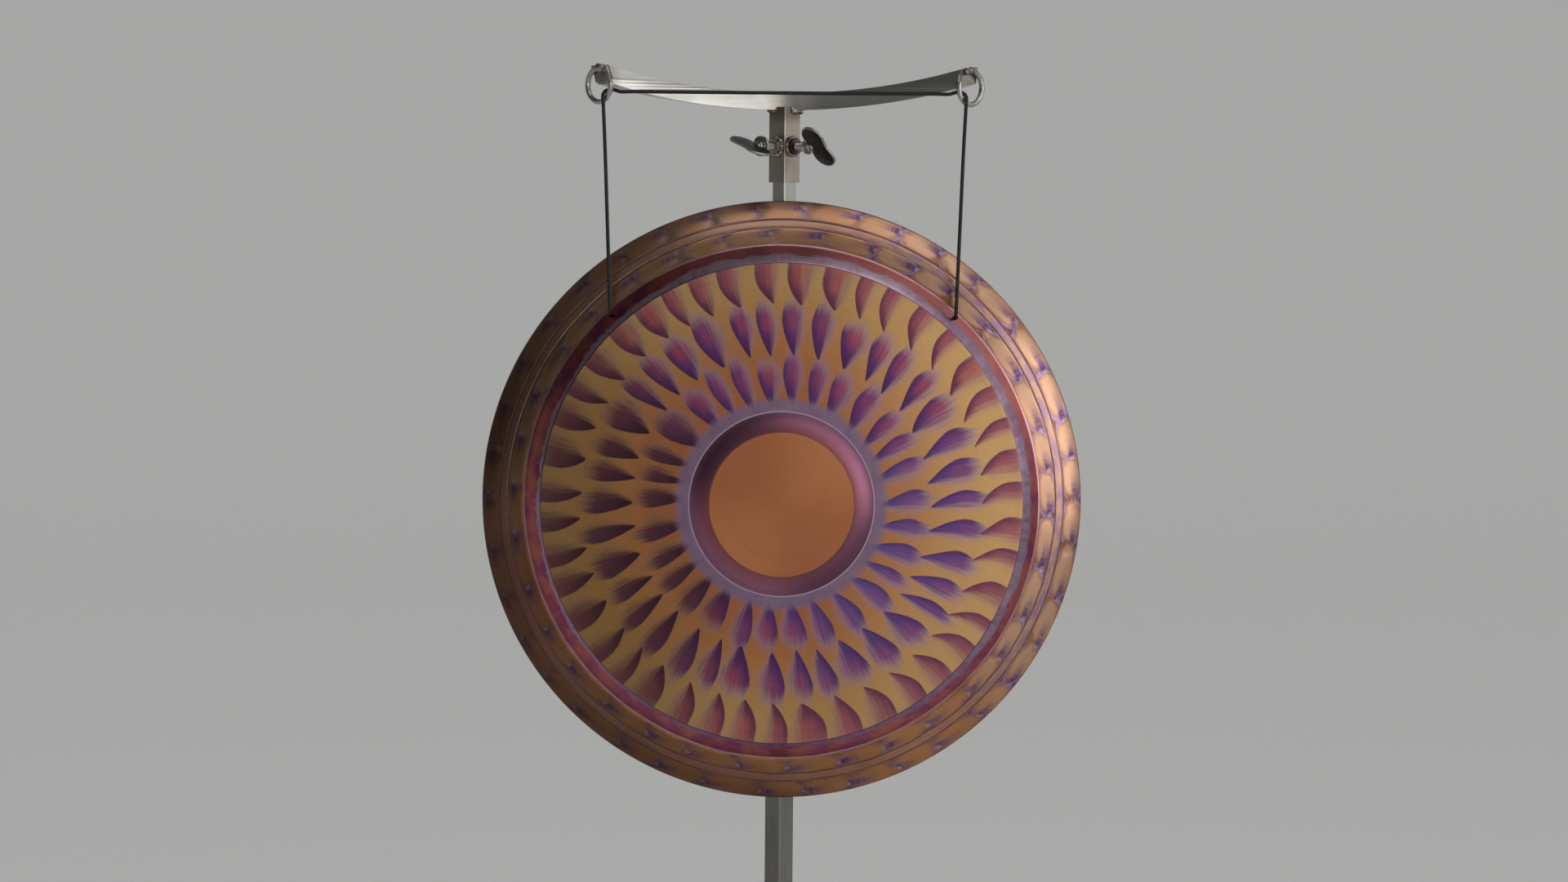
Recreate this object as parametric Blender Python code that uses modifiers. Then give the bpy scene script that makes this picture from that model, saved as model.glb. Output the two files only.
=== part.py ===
"""A hammered gong hung by a cord from the bent crossbar of a telescoping post stand, at rest.

Metres, +Z up. The gong faces -Y, +X is to the right of someone who looks at its face, and the
origin is on the floor under the middle of the post. The post and its sleeve are turned 45 degrees,
so one corner points at the gong.
"""

import math

import bmesh
import bpy
from mathutils import Matrix, Vector

# Running clearance between pieces that touch
GAP = 0.0003

# Gong: radii, and depths behind the flat face
GONG_RADIUS = 0.350
GONG_DEPTH = 0.060
GONG_WALL = 0.002
GONG_CENTRE_Z = 1.041
BOSS_TOP_RADIUS = 0.0835
BOSS_FOOT_RADIUS = 0.107
BOSS_HEIGHT = 0.008
FACE_RADIUS = 0.279
CREASE_RADIUS = 0.299
CREASE_DEPTH = 0.024
GROOVE_RADII = (0.3192, 0.3285)
GROOVE_DEPTH = 0.0009
GROOVE_WIDTH = 0.0022
EDGE_DEPTH = 0.050
LIP_INSET = 0.003
GONG_STEPS = 72

# Cord: the holes it passes through, its stopper knots, and how far apart it hangs
CORD_DIAMETER = 0.0043
CORD_HOLE_DIAMETER = 0.0052
CORD_HOLE_X = 0.200
CORD_HOLE_Z = 0.2175
KNOT_DIAMETER = 0.010

# Crossbar: a square tube bent upwards at both ends
TUBE_WALL = 0.0015
# Outside and inside corner radius of every square tube but the sleeve, in walls
TUBE_CORNER = 1.3
TUBE_INNER_CORNER = 0.4
CROSSBAR_SIDE = 0.020
CROSSBAR_BEND_RADIUS = 0.778
CROSSBAR_HALF_LENGTH = 0.2125
CROSSBAR_UNDERSIDE_Z = 1.4967
CROSSBAR_STEPS = 36
CROSSBAR_CORNER = 0.003
# How far each end is twisted forwards and down about the bar's own middle line, in degrees, and how
# the twist grows towards the end
CROSSBAR_TWIST_LEFT = 18.0
CROSSBAR_TWIST_RIGHT = 5.0
CROSSBAR_TWIST_POWER = 4
END_PLATE_THICKNESS = 0.002
END_PLATE_INSET = 0.001

# Hooks: open rings of round rod, flat against the oblique ends
HOOK_ROD_DIAMETER = 0.0065
HOOK_DIAMETER = 0.0462
HOOK_CENTRE_Z = 1.5245
HOOK_OPENING_FROM = 16.0
HOOK_OPENING_TO = 71.0

# Sleeve of the head, and the screws that clamp it
SLEEVE_SIDE = 0.026
SLEEVE_WALL = 0.0025
SLEEVE_CORNER = 0.0012
SLEEVE_LENGTH = 0.0878
SLEEVE_SCREW_BELOW_TOP = 0.0459
# How far its front and back corners stand up beside the crossbar
SLEEVE_RISE = 0.0035

# Posts
INNER_POST_SIDE = 0.020
INNER_POST_LENGTH = 0.950
OUTER_POST_SIDE = 0.025
OUTER_POST_WALL = 0.0020
OUTER_POST_TOP_Z = 0.950
OUTER_POST_SCREW_BELOW_TOP = 0.035

# Nuts and wing screws
NUT_ACROSS_FLATS = 0.017
NUT_THICKNESS = 0.008
SCREW_DIAMETER = 0.0094
SCREW_HOLE_DIAMETER = 0.0102
WASHER_THICKNESS = 0.0028
WASHER_FROM_AXIS = 0.0370
WASHER_DIAMETER_WIDE = 0.024
WASHER_DIAMETER_NARROW = 0.018
COLLAR_DIAMETER = 0.0126
COLLAR_THICKNESS = 0.004
WING_FROM_AXIS = 0.056
WING_LENGTH = 0.0585
WING_WIDTH = 0.0300
WING_WAIST = 0.0260
WING_THICKNESS = 0.0035
WING_TURN_LEFT = -21.0
WING_TURN_RIGHT = -48.0
WING_TURN_POST = 20.0

# Base: a socket for the outer post, four legs on its faces, plugs and feet
SOCKET_SIDE = 0.030
SOCKET_WALL = 0.0022
SOCKET_LENGTH = 0.110
LEG_SIDE = 0.025
LEG_REACH = 0.385
LEG_PLUG_THICKNESS = 0.004
LEG_PLUG_TONGUE = 0.016
FOOT_DIAMETER = 0.032
FOOT_HEIGHT = 0.014
FOOT_FROM_LEG_END = 0.032
FOOT_SCREW_DIAMETER = 0.006
FOOT_SCREW_HEAD_DIAMETER = 0.011
FOOT_SCREW_HEAD_HEIGHT = 0.003
FOOT_HOLE_START = 0.004
FOOT_HOLE_ABOVE = 0.008
FOOT_BEVEL = 0.002
SOCKET_BOLT_DIAMETER = 0.008
SOCKET_BOLT_HEAD_FLATS = 0.013
SOCKET_BOLT_HEAD_HEIGHT = 0.0053
SOCKET_BOLT_NUT_HEIGHT = 0.0065
SOCKET_BOLT_Z = 0.090
SOCKET_BOLT_END = 0.003

# Cutting tools: the ends of a drill from the post's axis, the block that cuts the crossbar's ends,
# the saddle that notches the sleeve's top, and how far pieces overlap before they are joined
DRILL_START = 0.004
DRILL_END = 0.030
DRILL_SIDES = 24
BLOCK_SIDE = 0.30
BLOCK_DEPTH = 0.12
SADDLE_SIDE = 0.06
SADDLE_DEPTH = 0.03
SADDLE_STEPS = 12
SLAB_SIDE = 0.12
OVERLAP = 0.002

# Places that follow from the sizes above
CORD_RADIUS = CORD_DIAMETER / 2
SCREW_RADIUS = SCREW_DIAMETER / 2
DIAGONAL = math.sqrt(0.5)
OUTER_POST_ROUNDING = TUBE_CORNER * OUTER_POST_WALL * (math.sqrt(2) - 1)
LIP_Y = OUTER_POST_ROUNDING - OUTER_POST_SIDE * DIAGONAL - GAP
FACE_Y = LIP_Y - GONG_DEPTH
LEG_CENTRE_Z = FOOT_HEIGHT + GAP + LEG_SIDE / 2
HOOK_RING_RADIUS = (HOOK_DIAMETER - HOOK_ROD_DIAMETER) / 2
SLEEVE_TOP_Z = CROSSBAR_UNDERSIDE_Z + SLEEVE_RISE
HEAD_SCREW_Z = SLEEVE_TOP_Z - SLEEVE_SCREW_BELOW_TOP
POST_SCREW_Z = OUTER_POST_TOP_Z - OUTER_POST_SCREW_BELOW_TOP
INNER_POST_TOP_Z = CROSSBAR_UNDERSIDE_Z - 2 * GAP

# Directions of the screws and legs, square to the turned tubes' faces
FRONT_LEFT = Vector((-DIAGONAL, -DIAGONAL, 0))
FRONT_RIGHT = Vector((DIAGONAL, -DIAGONAL, 0))
BACK_LEFT = Vector((-DIAGONAL, DIAGONAL, 0))
BACK_RIGHT = Vector((DIAGONAL, DIAGONAL, 0))

# The cord's route on the right side, from the knot behind the face, through the hole and up to the
# hook (x, y, z), and then over the hook's rod and along the front of the crossbar to its middle.
# Points are closer where it bends by more than TIGHT_BEND degrees from one step to the next.
DROP_ROUTE = (
    (0.2000, -0.0508, 1.2585),
    (0.2000, -0.0560, 1.2585),
    (0.2000, -0.0605, 1.2592),
    (0.2000, -0.0640, 1.2622),
    (0.2002, -0.0647, 1.2680),
    (0.2008, -0.0622, 1.2800),
    (0.2048, -0.0437, 1.3700),
    (0.2084, -0.0274, 1.4500),
    (0.2108, -0.0190, 1.4950),
    (0.2113, -0.0183, 1.5065),
)
BRIDGE_ROUTE = (
    (0.2114, -0.0183, 1.5072),
    (0.2117, -0.0177, 1.5100),
    (0.2113, -0.0158, 1.5136),
    (0.2093, -0.0136, 1.5168),
    (0.2056, -0.0117, 1.5187),
    (0.2007, -0.0108, 1.5189),
    (0.1963, -0.0112, 1.5178),
    (0.1900, -0.0131, 1.5164),
    (0.1700, -0.0137, 1.5167),
    (0.1200, -0.0133, 1.5166),
    (0.0600, -0.0130, 1.5165),
    (0.0000, -0.0128, 1.5165),
)
CORD_POINT_SPACING = 0.011
TIGHT_SPACING = 0.22
TIGHT_BEND = 2.0

# Colours as linear RGB
STEEL = (0.46, 0.45, 0.43)
DARK_STEEL = (0.10, 0.09, 0.08)
WELDED_STEEL = (0.30, 0.17, 0.09)
GONG_METAL = (0.42, 0.26, 0.12)
CORD_BLACK = (0.012, 0.012, 0.013)
RUBBER_BLACK = (0.02, 0.02, 0.02)
PLASTIC_BLACK = (0.03, 0.03, 0.03)
JOINT_MARK = 0.03


def clear_scene():
    """Removes the objects of the scene the script starts in."""
    for obj in list(bpy.data.objects):
        bpy.data.objects.remove(obj, do_unlink=True)


def new_collection(name):
    collection = bpy.data.collections.new(name)
    bpy.context.scene.collection.children.link(collection)
    return collection


def metal(name, colour, roughness):
    return new_material(name, colour, 1.0, roughness)


def new_material(name, colour, metallic, roughness):
    material = bpy.data.materials.new(name)
    material.use_nodes = True
    shader = material.node_tree.nodes["Principled BSDF"]
    shader.inputs["Base Color"].default_value = (*colour, 1.0)
    shader.inputs["Metallic"].default_value = metallic
    shader.inputs["Roughness"].default_value = roughness
    material.diffuse_color = (*colour, 1.0)
    return material


def add_part(name, mesh, material, location=(0, 0, 0), rotation=None, parent=None):
    """Puts a mesh in the gong's collection as one named piece."""
    obj = bpy.data.objects.new(name, mesh)
    PARTS.objects.link(obj)
    mesh.materials.clear()
    mesh.materials.append(material)
    return place(obj, location, rotation, parent)


def place(obj, location, rotation=None, parent=None):
    """Sets an object's world place, and then hangs it on its parent where it is."""
    world = Matrix.Translation(Vector(location))
    if rotation is not None:
        world = world @ rotation.to_4x4()
    if parent is not None:
        obj.parent = parent
        obj.matrix_parent_inverse = parent.matrix_world.inverted()
    obj.matrix_basis = world
    bpy.context.view_layer.update()
    return obj


def add_joint(name, location, parent=None):
    """An empty on a joint's axis, which carries the pieces that move with it."""
    empty = bpy.data.objects.new(name, None)
    PARTS.objects.link(empty)
    empty.empty_display_size = JOINT_MARK
    return place(empty, location, None, parent)


def basis(forward, up=Vector((0, 0, 1))):
    """A rotation whose Z axis lies along forward and whose Y axis lies near up."""
    z_axis = forward.normalized()
    x_axis = up.cross(z_axis).normalized()
    y_axis = z_axis.cross(x_axis)
    return Matrix((x_axis, y_axis, z_axis)).transposed()


def smooth(obj, angle=35.0):
    obj.data.shade_smooth()
    obj.data.set_sharp_from_angle(angle=math.radians(angle))


def cylinder_mesh(name, radius, start, end, sides=DRILL_SIDES):
    """A cylinder along Z from start to end."""
    mesh = bpy.data.meshes.new(name)
    shape = bmesh.new()
    bmesh.ops.create_cone(
        shape,
        cap_ends=True,
        segments=sides,
        radius1=radius,
        radius2=radius,
        depth=end - start,
        matrix=Matrix.Translation((0, 0, (start + end) / 2)),
    )
    shape.to_mesh(mesh)
    shape.free()
    return mesh


def box_mesh(name, size):
    """A box of the given sizes about the origin."""
    mesh = bpy.data.meshes.new(name)
    shape = bmesh.new()
    bmesh.ops.create_cube(shape, size=1.0, matrix=Matrix.Diagonal((*size, 1.0)))
    shape.to_mesh(mesh)
    shape.free()
    return mesh


def add_cutter(name, mesh, location=(0, 0, 0), rotation=None, parent=None):
    obj = bpy.data.objects.new(name, mesh)
    CUTTERS.objects.link(obj)
    obj.hide_render = True
    obj.display_type = "WIRE"
    return place(obj, location, rotation, parent)


def boolean(obj, other, operation="DIFFERENCE"):
    modifier = obj.modifiers.new(other.name, "BOOLEAN")
    modifier.operation = operation
    modifier.object = other
    modifier.solver = "EXACT"
    return modifier


def bevel(obj, width, segments=1, angle=40.0):
    modifier = obj.modifiers.new("Bevel", "BEVEL")
    modifier.width = width
    modifier.segments = segments
    modifier.limit_method = "ANGLE"
    modifier.angle_limit = math.radians(angle)
    return modifier


def rounded_square(side, corner_radius, points_per_corner=4):
    """The outline of a square with round corners, anticlockwise."""
    inset = side / 2 - corner_radius
    outline = []
    for corner in range(4):
        centre_angle = math.radians(45 + 90 * corner)
        centre = Vector((math.cos(centre_angle), math.sin(centre_angle))) * inset * math.sqrt(2)
        for step in range(points_per_corner):
            angle = math.radians(90 * corner + 90 * step / (points_per_corner - 1))
            outline.append(centre + Vector((math.cos(angle), math.sin(angle))) * corner_radius)
    return outline


def flat_curve(name, outlines, thickness):
    """A 2D curve of closed outlines, filled and extruded about its plane."""
    curve = bpy.data.curves.new(name, "CURVE")
    curve.dimensions = "2D"
    curve.fill_mode = "BOTH"
    curve.extrude = thickness / 2
    for outline in outlines:
        spline = curve.splines.new("POLY")
        spline.points.add(len(outline) - 1)
        for point, (x, y) in zip(spline.points, outline):
            point.co = (x, y, 0, 1)
        spline.use_cyclic_u = True
    return curve


def curve_to_mesh(curve, name):
    """The closed mesh of a curve, with its caps welded on."""
    source = bpy.data.objects.new(name + "_curve", curve)
    PARTS.objects.link(source)
    bpy.context.view_layer.update()
    graph = bpy.context.evaluated_depsgraph_get()
    mesh = bpy.data.meshes.new_from_object(source.evaluated_get(graph))
    mesh.name = name
    shape = bmesh.new()
    shape.from_mesh(mesh)
    bmesh.ops.remove_doubles(shape, verts=shape.verts, dist=1e-6)
    bmesh.ops.recalc_face_normals(shape, faces=shape.faces)
    shape.to_mesh(mesh)
    shape.free()
    bpy.data.objects.remove(source, do_unlink=True)
    return mesh


def square_tube_mesh(name, side, wall, length, corner=None):
    """A square tube with rounded edges, along Z about the origin."""
    outer = rounded_square(side, corner or wall * TUBE_CORNER)
    inner = rounded_square(side - 2 * wall, wall * TUBE_INNER_CORNER)
    return curve_to_mesh(flat_curve(name, [outer, inner], length), name)


def rod_curve(name, points, radius, resolution, radii=None):
    """A round rod or cord through the given points, with filled ends."""
    curve = bpy.data.curves.new(name, "CURVE")
    curve.dimensions = "3D"
    curve.bevel_depth = radius
    curve.bevel_resolution = resolution
    curve.use_fill_caps = True
    spline = curve.splines.new("POLY")
    spline.points.add(len(points) - 1)
    for index, (point, position) in enumerate(zip(spline.points, points)):
        point.co = (*position, 1)
        point.radius = radii[index] if radii else 1.0
    return curve


def smooth_route(route, spacing):
    """Even points on a smooth curve (Catmull-Rom) through a route's points."""
    knots = [Vector(point) for point in route]
    knots = [2 * knots[0] - knots[1], *knots, 2 * knots[-1] - knots[-2]]
    dense = []
    for a, b, c, d in zip(knots, knots[1:], knots[2:], knots[3:]):
        for step in range(24):
            t = step / 24
            dense.append(
                0.5
                * (
                    2 * b
                    + (c - a) * t
                    + (2 * a - 5 * b + 4 * c - d) * t * t
                    + (3 * b - a - 3 * c + d) * t**3
                )
            )
    dense.append(knots[-2])
    return resample(dense, spacing)


def resample(points, spacing):
    """Points at an even spacing along a polyline, closer where it bends tightly."""
    lengths = [0.0]
    for a, b in zip(points, points[1:]):
        lengths.append(lengths[-1] + (b - a).length)
    chosen = [0]
    for index in range(1, len(points) - 1):
        run = lengths[index] - lengths[chosen[-1]]
        before = (points[index] - points[max(index - 4, 0)]).normalized()
        after = (points[min(index + 4, len(points) - 1)] - points[index]).normalized()
        tight = before.angle(after, 0.0) > math.radians(TIGHT_BEND)
        left = lengths[-1] - lengths[index]
        if run >= spacing * (TIGHT_SPACING if tight else 1.0) and left > spacing * 0.2:
            chosen.append(index)
    chosen.append(len(points) - 1)
    return [points[index] for index in chosen]


def mirrored(points, side):
    """The route for one side: +1 keeps it and -1 mirrors it in X."""
    return [(side * x, y, z) for x, y, z in points]


def gong_profile():
    """The gong's front surface from the centre of the boss to the lip, as (radius, height)."""
    profile = [(0.0, BOSS_HEIGHT)]
    profile.append((BOSS_TOP_RADIUS * 0.5, BOSS_HEIGHT))
    profile.append((BOSS_TOP_RADIUS, BOSS_HEIGHT))
    for share in (0.2, 0.5, 0.8):
        fall = BOSS_HEIGHT * (0.5 + 0.5 * math.cos(math.pi * share))
        profile.append((BOSS_TOP_RADIUS + (BOSS_FOOT_RADIUS - BOSS_TOP_RADIUS) * share, fall))
    profile.append((BOSS_FOOT_RADIUS, 0.0))
    profile.append(((BOSS_FOOT_RADIUS + FACE_RADIUS) / 2, 0.0))
    profile.append((FACE_RADIUS, 0.0))
    for share in (0.3, 0.65):
        radius = FACE_RADIUS + (CREASE_RADIUS - FACE_RADIUS) * share
        profile.append((radius, -CREASE_DEPTH * share**1.15))
    profile.append((CREASE_RADIUS, -CREASE_DEPTH))
    for groove in GROOVE_RADII:
        profile.append((groove - GROOVE_WIDTH / 2, shoulder_height(groove - GROOVE_WIDTH / 2)))
        profile.append((groove, shoulder_height(groove) - GROOVE_DEPTH))
        profile.append((groove + GROOVE_WIDTH / 2, shoulder_height(groove + GROOVE_WIDTH / 2)))
    for share in (0.55, 0.8, 0.93, 1.0):
        radius = CREASE_RADIUS + (GONG_RADIUS - CREASE_RADIUS) * share
        if radius > GROOVE_RADII[-1] + GROOVE_WIDTH:
            profile.append((radius, shoulder_height(radius)))
    profile.append((GONG_RADIUS - LIP_INSET * 0.3, -(EDGE_DEPTH + GONG_DEPTH) / 2))
    profile.append((GONG_RADIUS - LIP_INSET, -GONG_DEPTH))
    return profile


def shoulder_height(radius):
    """Height of the hammered shoulder between the crease and the widest edge."""
    share = (radius - CREASE_RADIUS) / (GONG_RADIUS - CREASE_RADIUS)
    return -CREASE_DEPTH - (EDGE_DEPTH - CREASE_DEPTH) * (0.55 * share + 0.45 * share**3)


def make_gong(parent):
    """The bowl: a turned sheet with two drilled holes, its axis along Y and its face to -Y."""
    profile = gong_profile()
    mesh = bpy.data.meshes.new("gong")
    mesh.from_pydata(
        [(radius, 0, height) for radius, height in profile],
        [(index, index + 1) for index in range(len(profile) - 1)],
        [],
    )
    facing = Matrix.Rotation(math.radians(90), 3, "X")
    centre = (0, FACE_Y, GONG_CENTRE_Z)
    material = metal("gong_metal", GONG_METAL, 0.35)
    obj = add_part("gong", mesh, material, centre, facing, parent)
    add_screw(obj, GONG_STEPS)
    sheet = obj.modifiers.new("Sheet", "SOLIDIFY")
    sheet.thickness = GONG_WALL
    sheet.offset = -1
    for label, side in SIDES:
        radius = CORD_HOLE_DIAMETER / 2
        cutter = cylinder_mesh("cord_hole_" + label, radius, -EDGE_DEPTH, BOSS_HEIGHT, 16)
        location = (side * CORD_HOLE_X, FACE_Y, GONG_CENTRE_Z + CORD_HOLE_Z)
        boolean(obj, add_cutter("cord_hole_" + label, cutter, location, facing, parent))
    return obj


def make_cord(bridge_parent, drop_parent):
    """The black cord: a drop on each side, the bridge between the hooks, and the stopper knots."""
    black = new_material("cord_black", CORD_BLACK, 0.0, 0.6)
    for label, side in SIDES:
        points = smooth_route(mirrored(DROP_ROUTE, side), CORD_POINT_SPACING)
        # The upper end is round, because the cord bends there as the gong swings
        tip = points[-1]
        back = (points[-2] - tip).normalized()
        points = points[:-1] + [tip + back * CORD_RADIUS * share for share in (0.75, 0.35, 0.1, 0.0)]
        radii = [1.0] * (len(points) - 4) + [0.97, 0.80, 0.52, 0.25]
        curve = rod_curve("cord_drop_" + label, points, CORD_RADIUS, 2, radii)
        mesh = curve_to_mesh(curve, "cord_drop_" + label)
        smooth(add_part("cord_drop_" + label, mesh, black, parent=drop_parent))
        knot = bpy.data.meshes.new("cord_knot_" + label)
        shape = bmesh.new()
        bmesh.ops.create_uvsphere(shape, u_segments=16, v_segments=10, radius=KNOT_DIAMETER / 2)
        shape.to_mesh(knot)
        shape.free()
        location = (
            side * CORD_HOLE_X,
            DROP_ROUTE[0][1] + GAP + KNOT_DIAMETER / 2,
            GONG_CENTRE_Z + CORD_HOLE_Z,
        )
        facing = basis(Vector((0, -1, 0)))
        smooth(add_part("cord_knot_" + label, knot, black, location, facing, drop_parent))
    left = mirrored(BRIDGE_ROUTE, -1)
    right = list(reversed(BRIDGE_ROUTE))
    points = smooth_route(left + right[1:], CORD_POINT_SPACING)
    mesh = curve_to_mesh(rod_curve("cord_bridge", points, CORD_RADIUS, 2), "cord_bridge")
    smooth(add_part("cord_bridge", mesh, black, parent=bridge_parent))


def crossbar_outline(outer_radius, inner_radius, half_angle, steps=CROSSBAR_STEPS):
    """The crossbar from the front: two arcs about a centre above it, in X and height over the centre."""
    angles = [-half_angle + 2 * half_angle * step / steps for step in range(steps + 1)]
    lower = [(outer_radius * math.sin(a), -outer_radius * math.cos(a)) for a in angles]
    upper = [(inner_radius * math.sin(a), -inner_radius * math.cos(a)) for a in angles]
    return lower + list(reversed(upper))


def end_plane(side):
    """Point and outward direction of the crossbar's oblique end, cut at 45 degrees in plan."""
    point = Vector((side * CROSSBAR_HALF_LENGTH, 0, 0))
    return point, Vector((side * DIAGONAL, -DIAGONAL, 0))


def oblique_cutter(name, side, parent):
    """A large block whose inner face lies on the crossbar's oblique end."""
    point, direction = end_plane(side)
    centre = point + direction * BLOCK_DEPTH / 2
    mesh = box_mesh(name, (BLOCK_SIDE, BLOCK_SIDE, BLOCK_DEPTH))
    location = (centre.x, centre.y, CROSSBAR_UNDERSIDE_Z)
    return add_cutter(name, mesh, location, basis(direction), parent)


def crossbar_band(name, side, inset, half_angle):
    """A bent bar of the given side, whose centre line is the crossbar's."""
    outer = CROSSBAR_BEND_RADIUS - inset
    inner = CROSSBAR_BEND_RADIUS - inset - side
    outline = crossbar_outline(outer, inner, half_angle)
    mesh = curve_to_mesh(flat_curve(name, [outline], side), name)
    twist_ends(mesh)
    return mesh


def twist_ends(mesh):
    """Twists a bent bar's ends about its middle line, so that its underside turns to the front there.

    The bar lies about the centre of its bend here: X along it, Y up, and Z to the front."""
    middle = CROSSBAR_BEND_RADIUS - CROSSBAR_SIDE / 2
    for vertex in mesh.vertices:
        x, y, z = vertex.co
        full = CROSSBAR_TWIST_LEFT if x < 0 else CROSSBAR_TWIST_RIGHT
        share = min(abs(x) / CROSSBAR_HALF_LENGTH, 1.0)
        twist = math.radians(full) * share**CROSSBAR_TWIST_POWER
        below = math.hypot(x, y) - middle
        distance = middle + below * math.cos(twist) - z * math.sin(twist)
        along = math.atan2(x, -y)
        front = below * math.sin(twist) + z * math.cos(twist)
        vertex.co = (distance * math.sin(along), -distance * math.cos(along), front)


def make_crossbar(parent):
    steel = metal("crossbar_steel", STEEL, 0.35)
    upright = Matrix.Rotation(math.radians(90), 3, "X")
    centre = (0, 0, CROSSBAR_UNDERSIDE_Z + CROSSBAR_BEND_RADIUS)
    half_angle = (CROSSBAR_HALF_LENGTH + CROSSBAR_SIDE) / CROSSBAR_BEND_RADIUS
    mesh = crossbar_band("crossbar", CROSSBAR_SIDE, 0.0, half_angle)
    bar = add_part("crossbar", mesh, steel, centre, upright, parent)
    bevel(bar, CROSSBAR_CORNER, 3)
    hollow_side = CROSSBAR_SIDE - 2 * TUBE_WALL
    hollow = crossbar_band("crossbar_hollow", hollow_side, TUBE_WALL, half_angle * 1.05)
    boolean(bar, add_cutter("crossbar_hollow", hollow, centre, upright, parent))
    for label, side in SIDES:
        boolean(bar, oblique_cutter("crossbar_end_cut_" + label, side, parent))
    smooth(bar)
    for label, side in SIDES:
        make_end_plate(label, side, parent)


def make_end_plate(label, side, parent):
    """A thin plate a little smaller than the crossbar's section, on its oblique end."""
    steel = metal("end_plate_steel", STEEL, 0.4)
    upright = Matrix.Rotation(math.radians(90), 3, "X")
    centre = (0, 0, CROSSBAR_UNDERSIDE_Z + CROSSBAR_BEND_RADIUS)
    half_angle = (CROSSBAR_HALF_LENGTH + 2 * CROSSBAR_SIDE) / CROSSBAR_BEND_RADIUS
    name = "end_plate_" + label
    section = CROSSBAR_SIDE - 2 * END_PLATE_INSET
    mesh = crossbar_band(name, section, END_PLATE_INSET, half_angle)
    plate = add_part(name, mesh, steel, centre, upright, parent)
    bevel(plate, CROSSBAR_CORNER - END_PLATE_INSET, 2)
    point, direction = end_plane(side)
    slab_centre = point + direction * (GAP + END_PLATE_THICKNESS / 2)
    slab = box_mesh(name + "_slab", (SLAB_SIDE, SLAB_SIDE, END_PLATE_THICKNESS))
    location = (slab_centre.x, slab_centre.y, HOOK_CENTRE_Z)
    cutter = add_cutter(name + "_slab", slab, location, basis(direction), parent)
    boolean(plate, cutter, "INTERSECT")
    smooth(plate)


def hook_centre(side):
    """The middle of a hook's ring, which lies flat against the end plate."""
    point, direction = end_plane(side)
    away = END_PLATE_THICKNESS + 2 * GAP + HOOK_ROD_DIAMETER / 2
    centre = point + direction * away
    return Vector((centre.x, centre.y, HOOK_CENTRE_Z))


def make_hook(label, side, parent):
    """An open C of round rod: from its weld at the top, round the outside, to the front."""
    steel = metal("hook_steel", STEEL, 0.3)
    inward = Vector((-side * DIAGONAL, -DIAGONAL, 0))
    up = Vector((0, 0, 1))
    points = []
    steps = 30
    for step in range(steps + 1):
        turn = (360 + HOOK_OPENING_FROM - HOOK_OPENING_TO) * step / steps
        angle = math.radians(HOOK_OPENING_TO + turn)
        points.append((inward * math.cos(angle) + up * math.sin(angle)) * HOOK_RING_RADIUS)
    name = "hook_" + label
    mesh = curve_to_mesh(rod_curve(name, points, HOOK_ROD_DIAMETER / 2, 3), name)
    smooth(add_part(name, mesh, steel, hook_centre(side), parent=parent))


def make_sleeve(parent):
    """The head's socket tube, turned 45 degrees, its top notched to take the crossbar."""
    steel = metal("sleeve_steel", STEEL, 0.35)
    turned = Matrix.Rotation(math.radians(45), 3, "Z")
    mesh = square_tube_mesh("head_sleeve", SLEEVE_SIDE, SLEEVE_WALL, SLEEVE_LENGTH, SLEEVE_CORNER)
    location = (0, 0, SLEEVE_TOP_Z - SLEEVE_LENGTH / 2)
    sleeve = add_part("head_sleeve", mesh, steel, location, turned, parent)
    upright = Matrix.Rotation(math.radians(90), 3, "X")
    lower = CROSSBAR_BEND_RADIUS + GAP
    half_angle = SADDLE_SIDE / CROSSBAR_BEND_RADIUS
    shape = crossbar_outline(lower, lower - SADDLE_DEPTH, half_angle, SADDLE_STEPS)
    width = CROSSBAR_SIDE + 2 * GAP
    saddle = curve_to_mesh(flat_curve("sleeve_saddle", [shape], width), "sleeve_saddle")
    centre = (0, 0, CROSSBAR_UNDERSIDE_Z + CROSSBAR_BEND_RADIUS)
    boolean(sleeve, add_cutter("sleeve_saddle", saddle, centre, upright, parent))
    for label, direction in (("left", FRONT_LEFT), ("right", FRONT_RIGHT)):
        drill = cylinder_mesh("sleeve_hole_" + label, SCREW_HOLE_DIAMETER / 2, DRILL_START, DRILL_END)
        location = (0, 0, HEAD_SCREW_Z)
        boolean(sleeve, add_cutter("sleeve_hole_" + label, drill, location, basis(direction), parent))
    smooth(sleeve)


def turned_mesh(name, profile, steps):
    """The closed mesh of a profile, as (radius, height) from the top down, turned about Z."""
    outline = bpy.data.meshes.new(name)
    edges = [(index, index + 1) for index in range(len(profile) - 1)]
    outline.from_pydata([(radius, 0, height) for radius, height in profile], edges, [])
    source = bpy.data.objects.new(name + "_profile", outline)
    PARTS.objects.link(source)
    add_screw(source, steps)
    bpy.context.view_layer.update()
    graph = bpy.context.evaluated_depsgraph_get()
    mesh = bpy.data.meshes.new_from_object(source.evaluated_get(graph))
    bpy.data.objects.remove(source, do_unlink=True)
    return mesh


def add_screw(obj, steps):
    """Turns the object's profile about its Z axis."""
    screw = obj.modifiers.new("Turned", "SCREW")
    screw.axis = "Z"
    screw.steps = steps
    screw.render_steps = steps
    screw.use_merge_vertices = True
    screw.merge_threshold = 0.00001
    screw.use_smooth_shade = True


def circle(radius, sides, first_angle=0.0):
    """The points of a regular outline about the origin."""
    angles = [math.radians(first_angle) + 2 * math.pi * step / sides for step in range(sides)]
    return [(radius * math.cos(angle), radius * math.sin(angle)) for angle in angles]


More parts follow.
